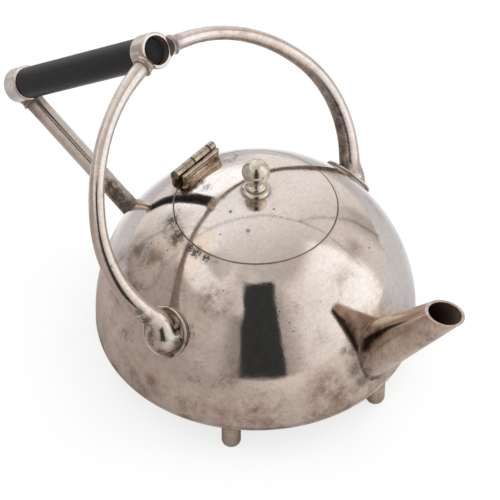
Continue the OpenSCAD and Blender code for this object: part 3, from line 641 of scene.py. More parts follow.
# the solder bead: an uneven ring of small oval section along the root, fullest at one side
beadSizes = {"wide": 1.2, "high": 0.8, "grimeAndShade": 0.45, "fullAt": 5.75, "fullOver": 0.42}
rootLine = spoutPoint(spoutEnds(0.0)[1], 0.0)
rootUp = unit(rootLine - ballCentre)
rootAlong = unit(np.roll(rootLine, -1, 0) - np.roll(rootLine, 1, 0))
rootSide = np.cross(rootUp, rootAlong)
lumps = 0.5 + 0.12 * np.sin(5 * roundTheSpout + 1.0) + 0.09 * np.sin(9 * roundTheSpout + 2.2)
fullSide = np.exp(-((roundTheSpout - beadSizes["fullAt"]) / beadSizes["fullOver"]) ** 2)
lumps += (0.75 + 0.25 * np.sin(21 * roundTheSpout)) * fullSide
aroundBead = np.linspace(0, 2 * np.pi, 20, endpoint=False)[:, None, None]
section = beadSizes["wide"] * np.cos(aroundBead) * rootSide + beadSizes["high"] * np.sin(aroundBead) * rootUp
beadPatch = patch(rootLine + lumps[:, None] * section, True, beadSizes["grimeAndShade"])
addPiece("spout_solder", [beadPatch], "pot", greySolder, "spout_bead", sharp=70)
print("stage: spout")

lidSizes = {"radius": 39.68, "thick": 1.2, "lip": 0.2, "lipAngle": 0.004, "sides": 256, "rows": 60,
            "insideRows": 40}
lidInner = outer - lidSizes["thick"]
lidOut, lidIn = math.asin(lidSizes["radius"] / outer), math.asin(lidSizes["radius"] / lidInner)
lidTop = ballPoint(outer, np.linspace(0, lidOut - lidSizes["lipAngle"], lidSizes["rows"]))
lidUnder = ballPoint(lidInner, np.linspace(lidIn - lidSizes["lipAngle"], 0, lidSizes["insideRows"]))
lidEdge = np.array([lidTop[-1], ballPoint(outer, lidOut), ballPoint(lidInner, lidIn), lidUnder[0]])
lidEdge = softCorners(lidEdge, lidSizes["lip"], loop=False)
lidProfile = np.concatenate([lidTop, lidEdge[1:-1], lidUnder])
# dirt along the seam and round the finial's foot
lidSeamDirt = np.exp(-np.abs(lidProfile[:, 0] - lidSizes["radius"]) / 0.3) * 0.5
lidMiddleDirt = np.exp(-np.abs(lidProfile[:, 0] - 7.2) / 0.7) * 0.7
lidGrime = np.maximum(lidSeamDirt, lidMiddleDirt)[:, None]
lidPatch = patch(turned(lidProfile, lidSizes["sides"]), False, lidGrime)
addPiece("lid_cap", [lidPatch], "lid", silverLid, "lid_shell")

finialSizes = {"top": 82.75, "ball": 6.8, "rise": 12.0, "ballEnd": -0.86}
ballArc = np.linspace(0, math.acos(finialSizes["ballEnd"]), 40)
finialBall = np.stack([finialSizes["ball"] * np.sin(ballArc),
                       finialSizes["rise"] + finialSizes["ball"] * np.cos(ballArc)], 1)
# the stem's radii and heights, from the neck over a small ring to the round foot
finialStem = np.array([(3.35, 5.6), (3.5, 5.0), (3.9, 4.45), (4.5, 4.1), (4.9, 3.75), (5.15, 3.3), (5.2, 2.9),
                       (5.05, 2.5), (4.75, 2.2), (4.7, 2.05), (5.2, 1.95), (5.9, 1.75), (6.5, 1.35),
                       (6.85, 0.8), (6.95, 0.3), (6.9, -0.35)])
finialProfile = np.concatenate([finialBall, dense(softCorners(finialStem, 0.35, loop=False, steps=4), 0.25),
                                [(0, -0.35)]])
# dirt at three heights, each with its width and amount
finialGrime = sum(np.exp(-np.abs(finialProfile[:, 1] - height) / wide) * amount
                  for height, wide, amount in ((2.1, 0.35, 0.8), (5.6, 0.6, 0.5), (0.0, 0.4, 0.5)))
finialProfile[:, 1] += finialSizes["top"]
finialPatch = patch(turned(finialProfile, 96), False, np.clip(finialGrime, 0, 1)[:, None])
addPiece("lid_finial", [finialPatch], "lid", silverFinial, "finial")
print("stage: lid and finial")

hingeSizes = {"x": -39.3, "z": 79.0, "radius": 2.3, "length": 28.6, "knuckles": 5, "gap": 0.3,
              "leafNear": 2.7, "leafHalf": 13.3, "shift": 1.35}
hingeX, hingeZ, leafHalf = hingeSizes["x"], hingeSizes["z"], hingeSizes["leafHalf"]
leafX = hingeX + hingeSizes["leafNear"]


def softRing(corners, radius):
    # a polygon with its corners rounded, and two more points on each side so that the flats stay flat
    rows = softCorners(corners, radius, steps=6).reshape(len(corners), -1, 2)
    ahead = np.roll(rows, -1, 0)[:, 0]
    more = [(rows[:, -1] * (1 - part) + ahead * part)[:, None] for part in (0.1, 0.9)]
    return np.concatenate([rows, *more], 1).reshape(-1, 2)


def softBox(low, high, grimeAndShade):
    # a block with softened edges: rounded rectangles stacked along Z, drawn in at both ends
    # by r (1 - sin a) over a height of r (1 - cos a)
    low, high = np.asarray(low, float), np.asarray(high, float)
    soft, middle, half = 0.25, (low + high) / 2, (high - low) / 2
    a = np.linspace(0, np.pi / 2, 6)
    drops = np.concatenate([soft * (1 - np.sin(a)), soft * (1 - np.cos(a))])
    heights = np.concatenate([low[2] + soft * (1 - np.cos(a)), high[2] - soft * (1 - np.sin(a))])
    corners = np.array([(1, 1), (-1, 1), (-1, -1), (1, -1)], float)
    rings = np.stack([softRing(corners * (half[:2] - drop), soft) + middle[:2] for drop in drops])
    levels = np.broadcast_to(heights[:, None, None], (*rings.shape[:2], 1))
    return patch(capped(np.concatenate([rings, levels], 2)), False, grimeAndShade)


def knucklePatch(y0, y1, soft0, soft1):
    # a short cylinder along Y whose ends are rounded and dirty, more so at the open joints
    r = hingeSizes["radius"]
    profile = dense(softCorners([(0, y0), (r, y0), (r, y1), (0, y1)], [0, soft0, soft1, 0], loop=False), 0.3)
    grid = turned(profile, 48)
    toStart, toEnd = profile[:, 1] - y0, y1 - profile[:, 1]
    grimeAndShade = 0.12 + 2.2 * soft0 * np.exp(-toStart / 0.35) + 2.2 * soft1 * np.exp(-toEnd / 0.35)
    grid = np.stack([grid[..., 0] + hingeX, grid[..., 2], grid[..., 1] + hingeZ], -1)
    return patch(grid, False, grimeAndShade[:, None])


# the five knuckles belong to the body and the lid in turn; two of their joints stand open
pitch = (hingeSizes["length"] + hingeSizes["gap"]) / hingeSizes["knuckles"]
joints = (np.arange(1, hingeSizes["knuckles"]) - hingeSizes["knuckles"] / 2) * pitch + hingeSizes["shift"]
halfGaps = np.array([0.05, 0.2, 0.05, 0.2])
softStarts, softEnds = [0.35, 0.1, 0.4, 0.1, 0.4], [0.1, 0.4, 0.1, 0.4, 0.35]
starts = np.concatenate([[-hingeSizes["length"] / 2], joints + halfGaps])
ends = np.concatenate([joints - halfGaps, [hingeSizes["length"] / 2]])
knuckles = [knucklePatch(*four) for four in zip(starts, ends, softStarts, softEnds)]

bodyLeaf = knuckles[0::2]
# the body leaf's webs and plate hold dirt and painted shade from under the barrel
for y0, y1 in zip(starts[0::2], ends[0::2]):
    bodyLeaf.append(softBox((hingeX - 2.9, y0, hingeZ - 3.3), (hingeX - 0.4, y1, hingeZ - 0.2), 0.7))
bodyLeaf.append(softBox((hingeX - 2.9, -leafHalf, 70.0), (hingeX - 1.2, leafHalf, hingeZ - 2.6), 0.75))
addPiece("hinge_back", bodyLeaf, "pot", dullBrass, "hinge_body_leaf", sharp=50)

# the standing leaf's section, as distances from its back and heights above its foot
leafBack = [(0.0, -0.8), (0.0, 0.5), (0.0, 2.5), (0.0, 4.2)]
leafTop = [(0.15, 4.75), (0.5, 5.05), (0.9, 5.1), (1.35, 4.95), (1.6, 4.6)]
leafFront = [(1.7, 4.2), (1.72, 3.2), (1.75, 2.2), (1.9, 1.3), (2.3, 0.55), (3.1, 0.05), (4.0, -0.2)]
leafUnder = [(4.0, -0.8), (2.0, -0.8)]
leafSizes = {"foot": 74.3, "middle": 0.7, "high": 5.0, "drawnIn": 1.9, "fold": 0.16, "flat": 1.72}


def leafPatch():
    # the section carried along Y; its ends draw in at mid height by d sin^1.5, its foot spreads unevenly,
    # and shallow folds run along its front
    loop = dense(closed(np.array(leafBack + leafTop + leafFront + leafUnder)), 0.5)[:-1]
    out, high = loop[:, 0], loop[:, 1]
    y = np.linspace(-1, 1, 54)[:, None]
    drawn = leafSizes["drawnIn"] * np.sin(np.pi * np.clip(high / leafSizes["high"], 0, 1)) ** 1.5
    along = leafSizes["middle"] + y * (leafHalf - drawn * np.abs(y) ** 3)
    ragged = 0.35 * np.sin(along * 1.7) + 0.25 * np.sin(along * 3.1 + 1.0)
    x = out + np.maximum(out - leafSizes["flat"], 0) * 0.25 * (ragged + y)
    folds = leafSizes["fold"] * np.sin(3.4 * high + 0.12 * along + 0.5 * np.sin(0.45 * along))
    folds = folds * (out > 1.55) * np.clip(high + 0.3, 0, 1)
    sagged = leafSizes["foot"] - 0.02 * along ** 2 * (high < 1.5) + high
    grid = capped(np.stack([leafX + x + folds, along, sagged], -1))
    # the back face is painted dark as the shade in the gap under the barrel; the front's foot holds dirt
    grimeAndShade = np.where(out < 0.4, 0.9, 0.1) + 0.45 * np.exp(-np.maximum(high, 0) / 0.7) * (out > 1.5)
    return patch(grid, False, np.clip(grimeAndShade, 0, 1))


def lumpPatch(spot, sizes, phase):
    # a small uneven blob of solder: a ball stretched to its sizes and swollen by two waves
    angle = np.linspace(0, np.pi, 20)
    ball = turned(np.stack([np.sin(angle), np.cos(angle)], 1), 32)
    x, y, z = ball[..., 0], ball[..., 1], ball[..., 2]
    swell = 1.0 + 0.16 * np.sin(3.1 * x + phase) * np.sin(2.7 * y + 2.0 * phase)
    swell = swell + 0.10 * np.sin(6.3 * z + 4.1 * y + phase)
    return patch(ball[:, ::-1] * swell[..., None] * np.array(sizes) + np.array(spot), False, 0.45)


# solder at the leaf's foot: place, sizes and phase of each lump
leafLumps = [((3.3, -12.8, 73.9), (2.1, 1.9, 1.1), 0.4), ((4.6, -9.6, 74.2), (1.9, 2.6, 0.8), 1.7),
             ((4.4, 11.5, 73.9), (2.2, 2.4, 0.9), 2.9), ((3.9, 4.0, 74.6), (1.5, 3.4, 0.6), 4.2)]
lidLeaf = knuckles[1::2]
for y0, y1 in zip(starts[1::2], ends[1::2]):
    # the webs' grime paints the shade under the barrel
    lidLeaf.append(softBox((hingeX + 0.4, y0, hingeZ - 2.3), (leafX + 0.5, y1, hingeZ - 0.1), 0.7))
lidLeaf.append(leafPatch())
lidLeaf += [lumpPatch(np.array(spot) + (leafX, 0, 0), sizes, phase) for spot, sizes, phase in leafLumps]
addPiece("hinge_front", lidLeaf, "lid", dullBrass, "hinge_lid_leaf", sharp=50)
print("stage: hinge")

gripSizes = {"x": -61.5, "z": 137.5, "slope": 38.7, "length": 123.7, "radius": 8.05, "tenonRadius": 7.05,
             "socketRadius": 9.05, "bore": 7.1, "socket": 10.4, "tenon": 6.0, "dish": 1.6, "swell": 0.02}
gripSlope = math.radians(gripSizes["slope"])
gripBack = np.array([-math.cos(gripSlope), 0.0, -math.sin(gripSlope)])
gripStart = np.array([gripSizes["x"], 0.0, gripSizes["z"]])
gripAxes = basis(gripBack)

# half of the bar's outline: a dished end, the tenon in its socket, and the bar from its shoulder
socketLong, gripLong = gripSizes["socket"], gripSizes["length"]
tenonEnd, full = socketLong - gripSizes["tenon"], gripSizes["radius"] + gripSizes["swell"]
dish = np.linspace(0, 6.4, 14)
frontDish = np.stack([dish, tenonEnd + gripSizes["dish"] * (1 - (dish / 6.6) ** 2)], 1)
halfBar = np.array([(6.4, tenonEnd + 0.1), (7.0, tenonEnd + 0.5),
                    (gripSizes["tenonRadius"], socketLong - 0.5),
                    (gripSizes["radius"], socketLong), (full, socketLong + 1.0)])
backHalf = halfBar[::-1] * (1, -1) + (0, gripLong)
barLine = softCorners(np.concatenate([halfBar, backHalf]), [0, 0.3, 0.1, 0.3, 0.5, 0.5, 0.3, 0.1, 0.3, 0],
                      loop=False)
backDish = frontDish[::-1] * (1, -1) + (0, gripLong)
barProfile = np.concatenate([frontDish, dense(barLine, 2.0), backDish])
barPatch = patch(placed(turned(barProfile, 96), gripAxes, gripStart))
addPiece("grip_bar", [barPatch], "pot", ebony, "grip")


def socketRing(start):
    # a ring with softened edges about the grip's axis
    r0, r1 = gripSizes["bore"], gripSizes["socketRadius"]
    end = start + socketLong
    loop = closed(softCorners([(r0, start), (r1, start), (r1, end), (r0, end)], [0.4, 0.9, 0.9, 0.3]))
    profile = dense(loop, 0.9)[:-1]
    dirty = 0.15 + 0.75 * (profile[:, 0] < r0 + 0.1) * np.clip((profile[:, 1] - start) / 4, 0, 1)
    return patch(placed(turned(profile, 96), gripAxes, gripStart), True, dirty[:, None])


armSizes = {"tilt": 37.0, "offset": 31.2, "y": 68.6, "w": 35.0, "start": 48.4, "bendLow": 54.4,
            "turnLow": 68.65, "bendHigh": 90.3, "turnHigh": 53.07, "low": 5.15, "slim": 3.45, "slimAt": 0.8,
            "top": 4.05, "stub": 5.1, "flareFrom": 9.0, "padRise": 29.0, "padBearing": 88.4,
            "padRadius": 12.8, "padLift": 1.1}
# how far each foot stays off its pad's rim, how full it is and how far it leans, which is along leanWay
feet = {"far": (2.0, 0.12, 0.9), "near": (2.2, 0.6, 0.0)}
leanWay = np.array([0.925, 0.164, -0.342])
tilt = math.radians(armSizes["tilt"])
planeUp = np.array([math.cos(tilt), 0.0, math.sin(tilt)])
planeAlong = np.array([-math.sin(tilt), 0.0, math.cos(tilt)])
allTurn = armSizes["turnLow"] + armSizes["turnHigh"]


def armLine(turn):
    # two arcs in the arms' plane: centre + r (sin, -cos) of the heading,
    # the second one starting where the first ends
    a0 = math.radians(armSizes["start"])
    a = a0 + np.radians(turn)
    aMid = a0 + math.radians(armSizes["turnLow"])
    r1, r2 = armSizes["bendLow"], armSizes["bendHigh"]
    first = np.stack([armSizes["y"] + r1 * (np.sin(a) - math.sin(a0)),
                      armSizes["w"] + r1 * (math.cos(a0) - np.cos(a))], -1)
    joint = np.array([armSizes["y"] + r1 * (math.sin(aMid) - math.sin(a0)),
                      armSizes["w"] + r1 * (math.cos(a0) - math.cos(aMid))])
    second = joint + r2 * np.stack([np.sin(a) - math.sin(aMid), math.cos(aMid) - np.cos(a)], -1)
    yw = np.where((turn < armSizes["turnLow"])[..., None], first, second)
    spot = armSizes["offset"] * planeUp + yw[..., :1] * np.array([0.0, 1.0, 0.0]) + yw[..., 1:] * planeAlong
    way = np.cos(a)[..., None] * np.array([0.0, 1.0, 0.0]) + np.sin(a)[..., None] * planeAlong
    return spot, way


rise, bearing = math.radians(armSizes["padRise"]), math.radians(armSizes["padBearing"])
padWay = np.array([math.cos(rise) * math.cos(bearing), math.cos(rise) * math.sin(bearing), math.sin(rise)])
padSpot = ballCentre + pot["ballRadius"] * padWay
endSpot, endWay = armLine(np.array([allTurn]))
endSpot, endWay = endSpot[0], unit(endWay[0])


def armPatch(groove, dome, lean):
    # circles swept along a cubic from the pad into the lower bend, then along the two arcs;
    # the foot's radius lies between a trumpet's (1-t)^4 and a dome's cos^2 of 90 degrees t^0.8
    t = np.linspace(0, 1, 64)[:, None] ** 1.5
    joinSpot, joinWay = armLine(np.array([armSizes["flareFrom"]]))
    p0 = padSpot + (armSizes["padLift"] - 0.15) * padWay
    p1, p2, p3 = p0 + 3.5 * padWay, joinSpot[0] - 4.5 * joinWay[0], joinSpot[0]
    flare = (1 - t) ** 3 * p0 + 3 * t * (1 - t) ** 2 * p1 + 3 * t * t * (1 - t) * p2 + t ** 3 * p3
    flareWay = (1 - t) ** 2 * (p1 - p0) + 2 * t * (1 - t) * (p2 - p1) + t * t * (p3 - p2)
    low, slim, top, slimAt = armSizes["low"], armSizes["slim"], armSizes["top"], armSizes["slimAt"]
    spread = armSizes["padRadius"] - groove - low
    tight = (1 - t) ** 4
    wide = tight + dome * (np.cos(np.pi / 2 * t ** 0.8) ** 2 - tight)
    flareRadius = low + spread * wide[:, 0]
    flare -= lean * spread * (wide - tight) * leanWay

    # along the arcs the rod first grows slimmer, then a little fuller towards its top
    turn = np.linspace(armSizes["flareFrom"], allTurn, 150)[1:]
    line, way = armLine(turn)
    u = (turn - turn[0]) / (turn[-1] - turn[0])
    slimming = low + (slim - low) * (u / slimAt) ** 0.8
    filling = slim + (top - slim) * (np.clip(u - slimAt, 0, 1) / (1 - slimAt)) ** 2
    centres, ways = np.concatenate([flare, line]), np.concatenate([flareWay, way])
    radii = np.concatenate([flareRadius, np.where(u < slimAt, slimming, filling)])
    grid = capped(swept(centres, ways, radii, planeUp, 64))

    # dirt in the groove and at the top; the side that faces the pot's middle gets a painted dark reflection,
    # carried as grime
    grimeAndShade = np.concatenate([0.85 * np.exp(-t[:, 0] / 0.05), 0.5 * np.exp(-(1 - u) * 30.0)])
    middles = grid.mean(1, keepdims=True)
    inward = unit(middles - np.array([-20.0, 0.0, 60.0]))
    facing = np.sum((grid - middles) * inward, -1) / np.concatenate([radii[:1], radii, radii[-1:]])[:, None]
    # painted dark reflection: the side facing the pot's middle is darkened
    under = 0.62 * np.clip((-facing - 0.25) / 0.5, 0, 1)
    return patch(grid, False, np.maximum(np.concatenate([grimeAndShade[:1], grimeAndShade, grimeAndShade[-1:]])[:, None], under))


def mirrored(p):
    # the same patch on the pot's other side
    return {**p, "grid": (p["grid"] * np.array([1.0, -1.0, 1.0]))[:, ::-1], "grimeAndShade": p["grimeAndShade"][:, ::-1]}


# the beaded end of a boss: distances from its end and how far its radius departs there
stubBead = np.array([(0, -4.0), (0, -0.55), (0.12, -0.2), (0.3, 0.05), (0.55, 0.15), (0.85, 0.05),
                     (1.15, -0.2), (1.4, -0.35), (1.6, -0.4), (1.9, -0.38)])


def stubPatch(spot, way, radius, grimeAndShade):
    # a short boss: every line of it runs from a beaded end into the ring,
    # till |P - axis| is a little under the ring's radius
    sunk = 0.4
    axes = basis(way)
    a = np.linspace(0, 2 * np.pi, 72, endpoint=False)[:, None]
    side = np.cos(a) * axes[:, 0] + np.sin(a) * axes[:, 1]

    def across(v):
        # the part of a direction that is square to the grip's axis
        return v - np.sum(v * gripBack, -1, keepdims=True) * gripBack

    p, d = across(spot + radius * side - gripStart), across(unit(way))
    # the distance s along each line solves q s^2 + 2 b s + c = 0
    q, b, c = np.sum(d * d), np.sum(p * d, -1), np.sum(p * p, -1) - (gripSizes["socketRadius"] - sunk) ** 2
    reach = (-b - np.sqrt(np.maximum(b * b - q * c, 0.0))) / q
    beadEnd, beadLast = stubBead[-1]
    t = np.linspace(0, 1, 14)[1:]
    far = np.concatenate([stubBead[:, :1] + 0 * reach, beadEnd + t[:, None] * (reach - beadEnd)])
    radii = np.concatenate([radius + stubBead[:, 1], radius + beadLast + 0.75 * t ** 3])
    grid = spot + far[..., None] * unit(way) + radii[:, None, None] * side[None]
    dirty = grimeAndShade + 0.6 * np.exp(-np.abs(far - 1.7) / 0.35) + 0.5 * np.exp(-(reach - far) / 0.6)
    dirty = np.clip(dirty + 0.4 * (far < 0.1), 0, 1)
    grid = np.concatenate([grid, grid[-1:].mean(1, keepdims=True) + 0 * grid[-1:]])
    return patch(grid, False, np.concatenate([dirty, dirty[-1:]]))


stubs = stubPatch(endSpot, endWay, armSizes["stub"], 0.2)
frontRing = [socketRing(0.0), stubs, mirrored(stubs)]
addPiece("front_ring", frontRing, "pot", silverHandle, "front_socket")
addPiece("arm_far", [armPatch(*feet["far"])], "pot", silverHandle, "arm_left", sharp=50)
addPiece("arm_near", [mirrored(armPatch(*feet["near"]))], "pot", silverHandle, "arm_right",
         sharp=50)

# a pad is a low disc with a raised rim; dirt lies in the groove inside the rim, and the lower part of its
# side is darker
padRadius, padLift, padSunk = armSizes["padRadius"], armSizes["padLift"], 1.4
padSide = padRadius - 0.02
padProfile = [(0, -padSunk), (padRadius - 0.3, -padSunk), (padSide, -1.0), (padSide, padLift + 0.1),
              (padRadius - 0.5, padLift + 0.4), (padRadius - 1.1, padLift + 0.3), (padRadius - 1.5, padLift),
              (0, padLift)]
padProfile = dense(softCorners(padProfile, [0, 0.2, 0.2, 0.3, 0.4, 0.3, 0.3, 0], loop=False), 0.7)
grooveDirt = 0.85 * np.exp(-np.abs(padProfile[:, 0] - padRadius + 1.8) / 0.4)
sideDarkening = (padProfile[:, 0] > padRadius - 0.15) * np.exp(-np.abs(padProfile[:, 1]) / 0.7)
padGrime = np.clip(0.02 + grooveDirt + sideDarkening, 0, 1)[:, None]
padPatch = patch(placed(turned(padProfile, 96), basis(padWay, (1.0, 0.0, 0.0)), padSpot), False, padGrime)
addPiece("pad_far", [padPatch], "pot", silverHandle, "pad_left")
addPiece("pad_near", [mirrored(padPatch)], "pot", silverHandle, "pad_right")

strutSizes = {"x": -147.2, "z": 55.4, "slope": 28.8, "radius": 4.9, "collar": 5.85, "length": 78.3,
              "into": 2.5, "foot": 6.4, "footLong": 4.0}
strutSlope = math.radians(strutSizes["slope"])
strutWay = np.array([math.cos(strutSlope), 0.0, -math.sin(strutSlope)])
strutTop = np.array([strutSizes["x"], 0.0, strutSizes["z"]])
strutAxes = basis(strutWay)
strutRadius, strutLong = strutSizes["radius"], strutSizes["length"]
strutEnd, footStart = strutLong + strutSizes["into"], strutLong - strutSizes["footLong"]
strutProfile = dense([(0, -2.0), (strutRadius, -2.0), (strutRadius, strutEnd), (0, strutEnd)], 2.0)
fromTop, toBody = np.clip(strutProfile[:, 1], 0, 90), strutLong - strutProfile[:, 1]
strutGrime = np.clip(0.22 + 0.5 * np.exp(-fromTop / 2.0) + 0.8 * np.exp(-toBody / 9.0), 0, 1)[:, None]
strutPatch = patch(placed(turned(strutProfile, 64), strutAxes, strutTop), False, strutGrime)
addPiece("strut_tube", [strutPatch], "pot", silverHandle, "strut")
rearRing = [socketRing(gripLong - socketLong), stubPatch(strutTop, -strutWay, strutSizes["collar"], 0.45)]
addPiece("rear_ring", rearRing, "pot", silverHandle, "rear_socket")

# the collar at the strut's foot flares by u^2.2
u = np.linspace(0, 1, 16)
footFlare = strutRadius + 0.15 + (strutSizes["foot"] - strutRadius) * u ** 2.2 * 1.6
footCone = np.stack([footFlare, footStart + (strutEnd - footStart) * u], 1)
footCone = np.concatenate([[(strutRadius - 0.5, footStart)], footCone, [(strutRadius - 0.5, strutEnd)]])
flarePatch = patch(placed(turned(footCone, 64), strutAxes, strutTop), True, 0.55)
addPiece("strut_flare", [flarePatch], "pot", silverHandle, "strut_foot", sharp=60)
print("stage: handle")

# small CAD pieces keep their own meshes
keptMeshes = {"mouth_ring": silverBody, "lid_band": silverBody, "finial_washer": silverBody,
              "finial_nut": dullBrass, "hinge_pin": dullBrass,
              "grip_pin_front": silverHandle, "grip_pin_rear": silverHandle}
for name, material in keptMeshes.items():
    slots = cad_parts[name].data.materials
    slots.clear()
    slots.append(material)

studio = {"near": 0.42, "deep": 0.9, "wide": 0.75, "floorShade": 0.30, "glow": 1.07,
          "paper": (0.96, 0.96, 0.96)}
# painted light and shade that mirrors see on the floor: its darker left, its lighter right, the left close to
# the pot painted brighter, and the sheet behind the pot
floorPaintedLight = {"left": (0.47, 0.43, 0.415), "right": (0.78, 0.745, 0.72), "closeLeft": (0.80, 0.73, 0.70),
             "back": (0.615, 0.635, 0.665), "closeBack": (1.18, 1.25, 1.31)}
lensWay = math.radians(-50.34)


def floorMaterial():
    # white paper: for the lens mostly its own white, for the mirrors a greyer sheet painted with light and
    # shade that turns cool and bright behind the pot
    material, g = newMaterial("white_floor", (1, 1, 1))
    path = g.node("ShaderNodeLightPath")
    seen, mirror = path[0], path[3]
    where = g.place()
    across = g.vector("DOT_PRODUCT", where, (-math.sin(lensWay), math.cos(lensWay), 0.0), 1)
    ahead = g.vector("DOT_PRODUCT", where, (math.cos(lensWay), math.sin(lensWay), 0.0), 1)
    away = g.vector("LENGTH", where, output=1)
    # painted light: mirrors see the floor darker on its left, lighter on its right and brighter close to the
    # pot
    toRight = across.rise(-0.11, 0.12)
    paintedGrey = g.blend(toRight, floorPaintedLight["left"], floorPaintedLight["right"])
    paintedCloseGrey = g.blend(toRight, floorPaintedLight["closeLeft"], floorPaintedLight["right"])
    paintedGrey = g.blend((1.0 - away.rise(0.08, 0.22)) * 0.4, paintedGrey, paintedCloseGrey)
    # the painted brightness behind the pot falls off in a long ellipse: the root of x^2 + (y / 1.9)^2
    apart = (across ** 2.0 + ((ahead + 0.09) / 1.9) ** 2.0) ** 0.5
    paintedBehind = g.blend(apart.rise(0.03, 0.16), floorPaintedLight["closeBack"], floorPaintedLight["back"])
    paintedGrey = g.blend((ahead - 0.08 * across.rise(0.0, 0.09)).rise(-0.10, -0.05), paintedBehind, paintedGrey)
    paper = g.node("ShaderNodeBsdfDiffuse", None, {"Color": g.blend(mirror, studio["paper"], paintedGrey)})[0]
    glow = g.node("ShaderNodeEmission", None, {"Color": (1.0, 1.0, 1.0, 1.0), "Strength": studio["glow"]})[0]
    front = g.node("ShaderNodeMixShader", None, {0: seen * (1 - studio["floorShade"]), 1: paper, 2: glow})[0]
    g.node("ShaderNodeOutputMaterial", None, {"Surface": front})
    return material


# the sheet is square to the lens; its near edge lies closer than the others
floorMesh = bpy.data.meshes.new("floor")
toLens = np.array([math.cos(lensWay), math.sin(lensWay)])
toLeft = np.array([-math.sin(lensWay), math.cos(lensWay)])
near, deep, half = studio["near"], -studio["deep"], studio["wide"]
ends = ((near, -half), (near, half), (deep, half), (deep, -half))
corners = [toLens * forward + toLeft * aside for forward, aside in ends]
floorMesh.from_pydata([(float(x), float(y), 0.0) for x, y in corners], [], [(0, 1, 2, 3)])
floorMesh.materials.append(floorMaterial())
floor = bpy.data.objects.new("floor", floorMesh)
scene.collection.objects.link(floor)

cameraSizes = {"spot": (0.67176223, -0.78695680, 1.07365226),
               "turn": (0.789351824, -0.000228031, 0.695161904),
               "lens": 211.0234, "sensor": 36.0, "clip": (0.05, 20.0)}
cameraData = bpy.data.cameras.new("camera")
cameraData.lens, cameraData.sensor_width = cameraSizes["lens"], cameraSizes["sensor"]
cameraData.sensor_fit = "HORIZONTAL"
cameraData.clip_start, cameraData.clip_end = cameraSizes["clip"]
camera = bpy.data.objects.new("camera", cameraData)
camera.location, camera.rotation_euler = cameraSizes["spot"], cameraSizes["turn"]
scene.collection.objects.link(camera)
scene.camera = camera


# the tent that mirrors see, in degrees round from the lens (right is positive) and up from the floor;
# each wall is a base level and steps (amount, from, to) that add up on the way round
tent = {"slitMiddle": 4.6, "slitHalf": 15.6, "slitTop": 61.5, "slitFlare": 5.0, "slit": 0.04,
        "nearCorner": 131.0, "farCorner": -122.0, "backTurn": 186.0, "backSlope": 2.5, "cornerDark": 0.45,
        "edgeDark": 0.62, "right": 0.38,
        "rightSteps": ((0.48, 20.0, 44.0), (0.38, 40.0, 88.0), (-0.52, 101.0, 109.0), (0.18, 130.0, 160.0)),
        "left": 0.31, "leftSteps": ((0.19, 14.0, 30.0), (-0.10, 58.0, 80.0), (0.40, 112.0, 140.0)),
        "roof": (0.55, 0.42), "warmth": 0.13, "soft": (1.0, 0.99, 0.98, 1.0), "softLevel": 0.9}


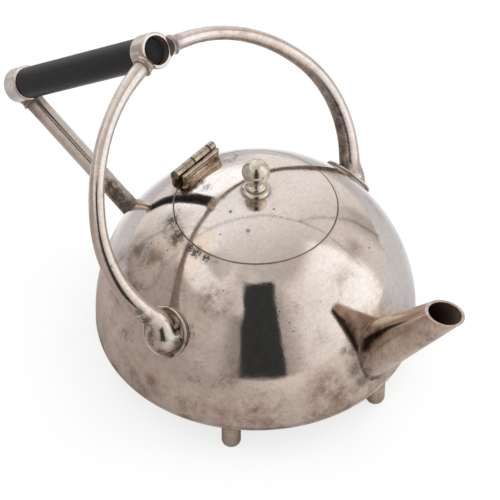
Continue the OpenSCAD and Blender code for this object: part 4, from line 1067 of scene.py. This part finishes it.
def makeWorld():
    # a small white tent: bright on the right, a dark slit where the lens looks in,
    # thin lines where its walls meet
    world = bpy.data.worlds.new("tent")
    scene.world = world
    world.use_nodes = True
    g = Graph(world.node_tree)
    way = g.node("ShaderNodeTexCoord")[0]

    def toward(turn, lift):
        # how far a direction points towards the one that is turned so far from the lens and lifted so far
        a, e = lensWay + math.radians(turn), math.radians(lift)
        aim = (math.cos(a) * math.cos(e), math.sin(a) * math.cos(e), math.sin(e))
        return g.vector("DOT_PRODUCT", way, aim, 1)

    z = toward(0, 90)
    side = toward(90, 0).math("ARCTAN2", toward(0, 0)) * math.degrees(1.0)
    left = 0.0 - side
    up = z.math("ARCSINE") * math.degrees(1.0)

    # the slit, a little wider at its top
    halfSlit = tent["slitHalf"] + up.rise(44.0, 62.0) * tent["slitFlare"]
    off = side - tent["slitMiddle"]
    slit = (off + halfSlit).rise(-0.4, 0.8) * (1.0 - (off - halfSlit).rise(-0.8, 0.8))
    slit = slit * (1.0 - up.rise(tent["slitTop"] - 0.7, tent["slitTop"] + 0.7))

    # the right wall, with a darker patch low down at its back
    right = tent["right"]
    for amount, start, end in tent["rightSteps"]:
        right = right + amount * side.rise(start, end)
    lowPatch = (1.0 - (side - 133.0).away().rise(3.0, 11.0)) * (1.0 - up.rise(8.0, 30.0))
    right = right * (1.0 - 0.34 * lowPatch)

    # the left wall, brighter above the floor in three stretches, and a panel over it
    leftWall = tent["left"]
    for amount, start, end in tent["leftSteps"]:
        leftWall = leftWall + amount * left.rise(start, end)
    leftWall = leftWall + 0.26 * left.rise(88.0, 104.0) * (1.0 - left.rise(112.0, 140.0)) * up.rise(2.0, 24.0)
    aboveFloor = up.rise(6.0, 20.0)
    leftWall = leftWall + 0.5 * left.rise(132.0, 146.0) * aboveFloor
    leftWall = leftWall + 0.09 * left.rise(16.0, 34.0) * (1.0 - left.rise(48.0, 62.0)) * aboveFloor
    shade = 0.4 * up.rise(52.0, 58.0) * left.rise(36.0, 50.0) * (1.0 - left.rise(80.0, 95.0))
    panel = (0.64 + 0.34 * left.rise(18.0, 55.0)) * (1.0 - shade)
    leftWall = leftWall + (panel - leftWall) * up.rise(35.0, 42.0)

    # both walls and the roof, which starts lower on the right
    onRight = side.rise(0.0, 8.0)
    level = leftWall + (right - leftWall) * onRight
    roof = tent["roof"][0] + tent["roof"][1] * toward(-155, 30).rise(0.1, 1.0)
    level = level + (roof - level) * (up - 14.0 * (1.0 - onRight)).rise(47.0, 62.0)

    # dark lines in the two back corners and along the back wall's top
    back = toward(tent["backTurn"], 0)
    wallTop = z - tent["backSlope"] * back
    under = 1.0 - wallTop.rise(-0.01, 0.01)
    nearLine = 1.0 - (side - tent["nearCorner"]).away().rise(0.3, 1.2)
    farLine = 1.0 - (side - tent["farCorner"]).away().rise(0.3, 1.2)
    edge = (1.0 - wallTop.away().rise(0.012, 0.034)) * back.rise(0.1, 0.12)
    level = level * (1.0 - tent["cornerDark"] * (nearLine.larger(farLine) * under))
    level = level * (1.0 - tent["edgeDark"] * edge) * (1.0 - slit)

    # the darker, the warmer, but the back is cooler; the slit keeps a little light of its own
    warm = tent["warmth"] * (1.0 - level) - 0.025 * left.rise(112.0, 150.0)
    rest = tent["slit"] * slit
    parts = {0: level * (1.0 + warm) + 0.9 * rest, 1: level + rest,
             2: level * (1.0 - 0.6 * warm) + 1.05 * rest}
    tone = g.node("ShaderNodeCombineColor", None, parts)[0]
    path = g.node("ShaderNodeLightPath")
    plain = g.node("ShaderNodeBackground", None, {"Color": (1.0, 1.0, 1.0, 1.0), "Strength": 1.0})[0]
    soft = g.node("ShaderNodeBackground", None, {"Color": tent["soft"], "Strength": tent["softLevel"]})[0]
    walls = g.node("ShaderNodeBackground", None, {"Color": tone, "Strength": 1.0})[0]
    glossy = g.node("ShaderNodeMixShader", None, {0: path[3], 1: soft, 2: walls})[0]
    shown = g.node("ShaderNodeMixShader", None, {0: path[0], 1: glossy, 2: plain})[0]
    g.node("ShaderNodeOutputWorld", None, {"Surface": shown})


makeWorld()
lampSizes = {"wide": 1.2, "power": 6.0, "spot": (0.5, 0.9, 1.3),
             "turn": (-math.atan2(0.9, 1.3), math.atan2(0.5, 1.6), 0.0)}
lampData = bpy.data.lights.new("soft_lamp", "AREA")
lampData.shape, lampData.energy = "RECTANGLE", lampSizes["power"]
lampData.size = lampData.size_y = lampSizes["wide"]
lamp = bpy.data.objects.new("soft_lamp", lampData)
lamp.location, lamp.rotation_euler = lampSizes["spot"], lampSizes["turn"]
lamp.visible_glossy = False
scene.collection.objects.link(lamp)
scene.view_settings.view_transform = "Standard"
print("stage: light and camera")
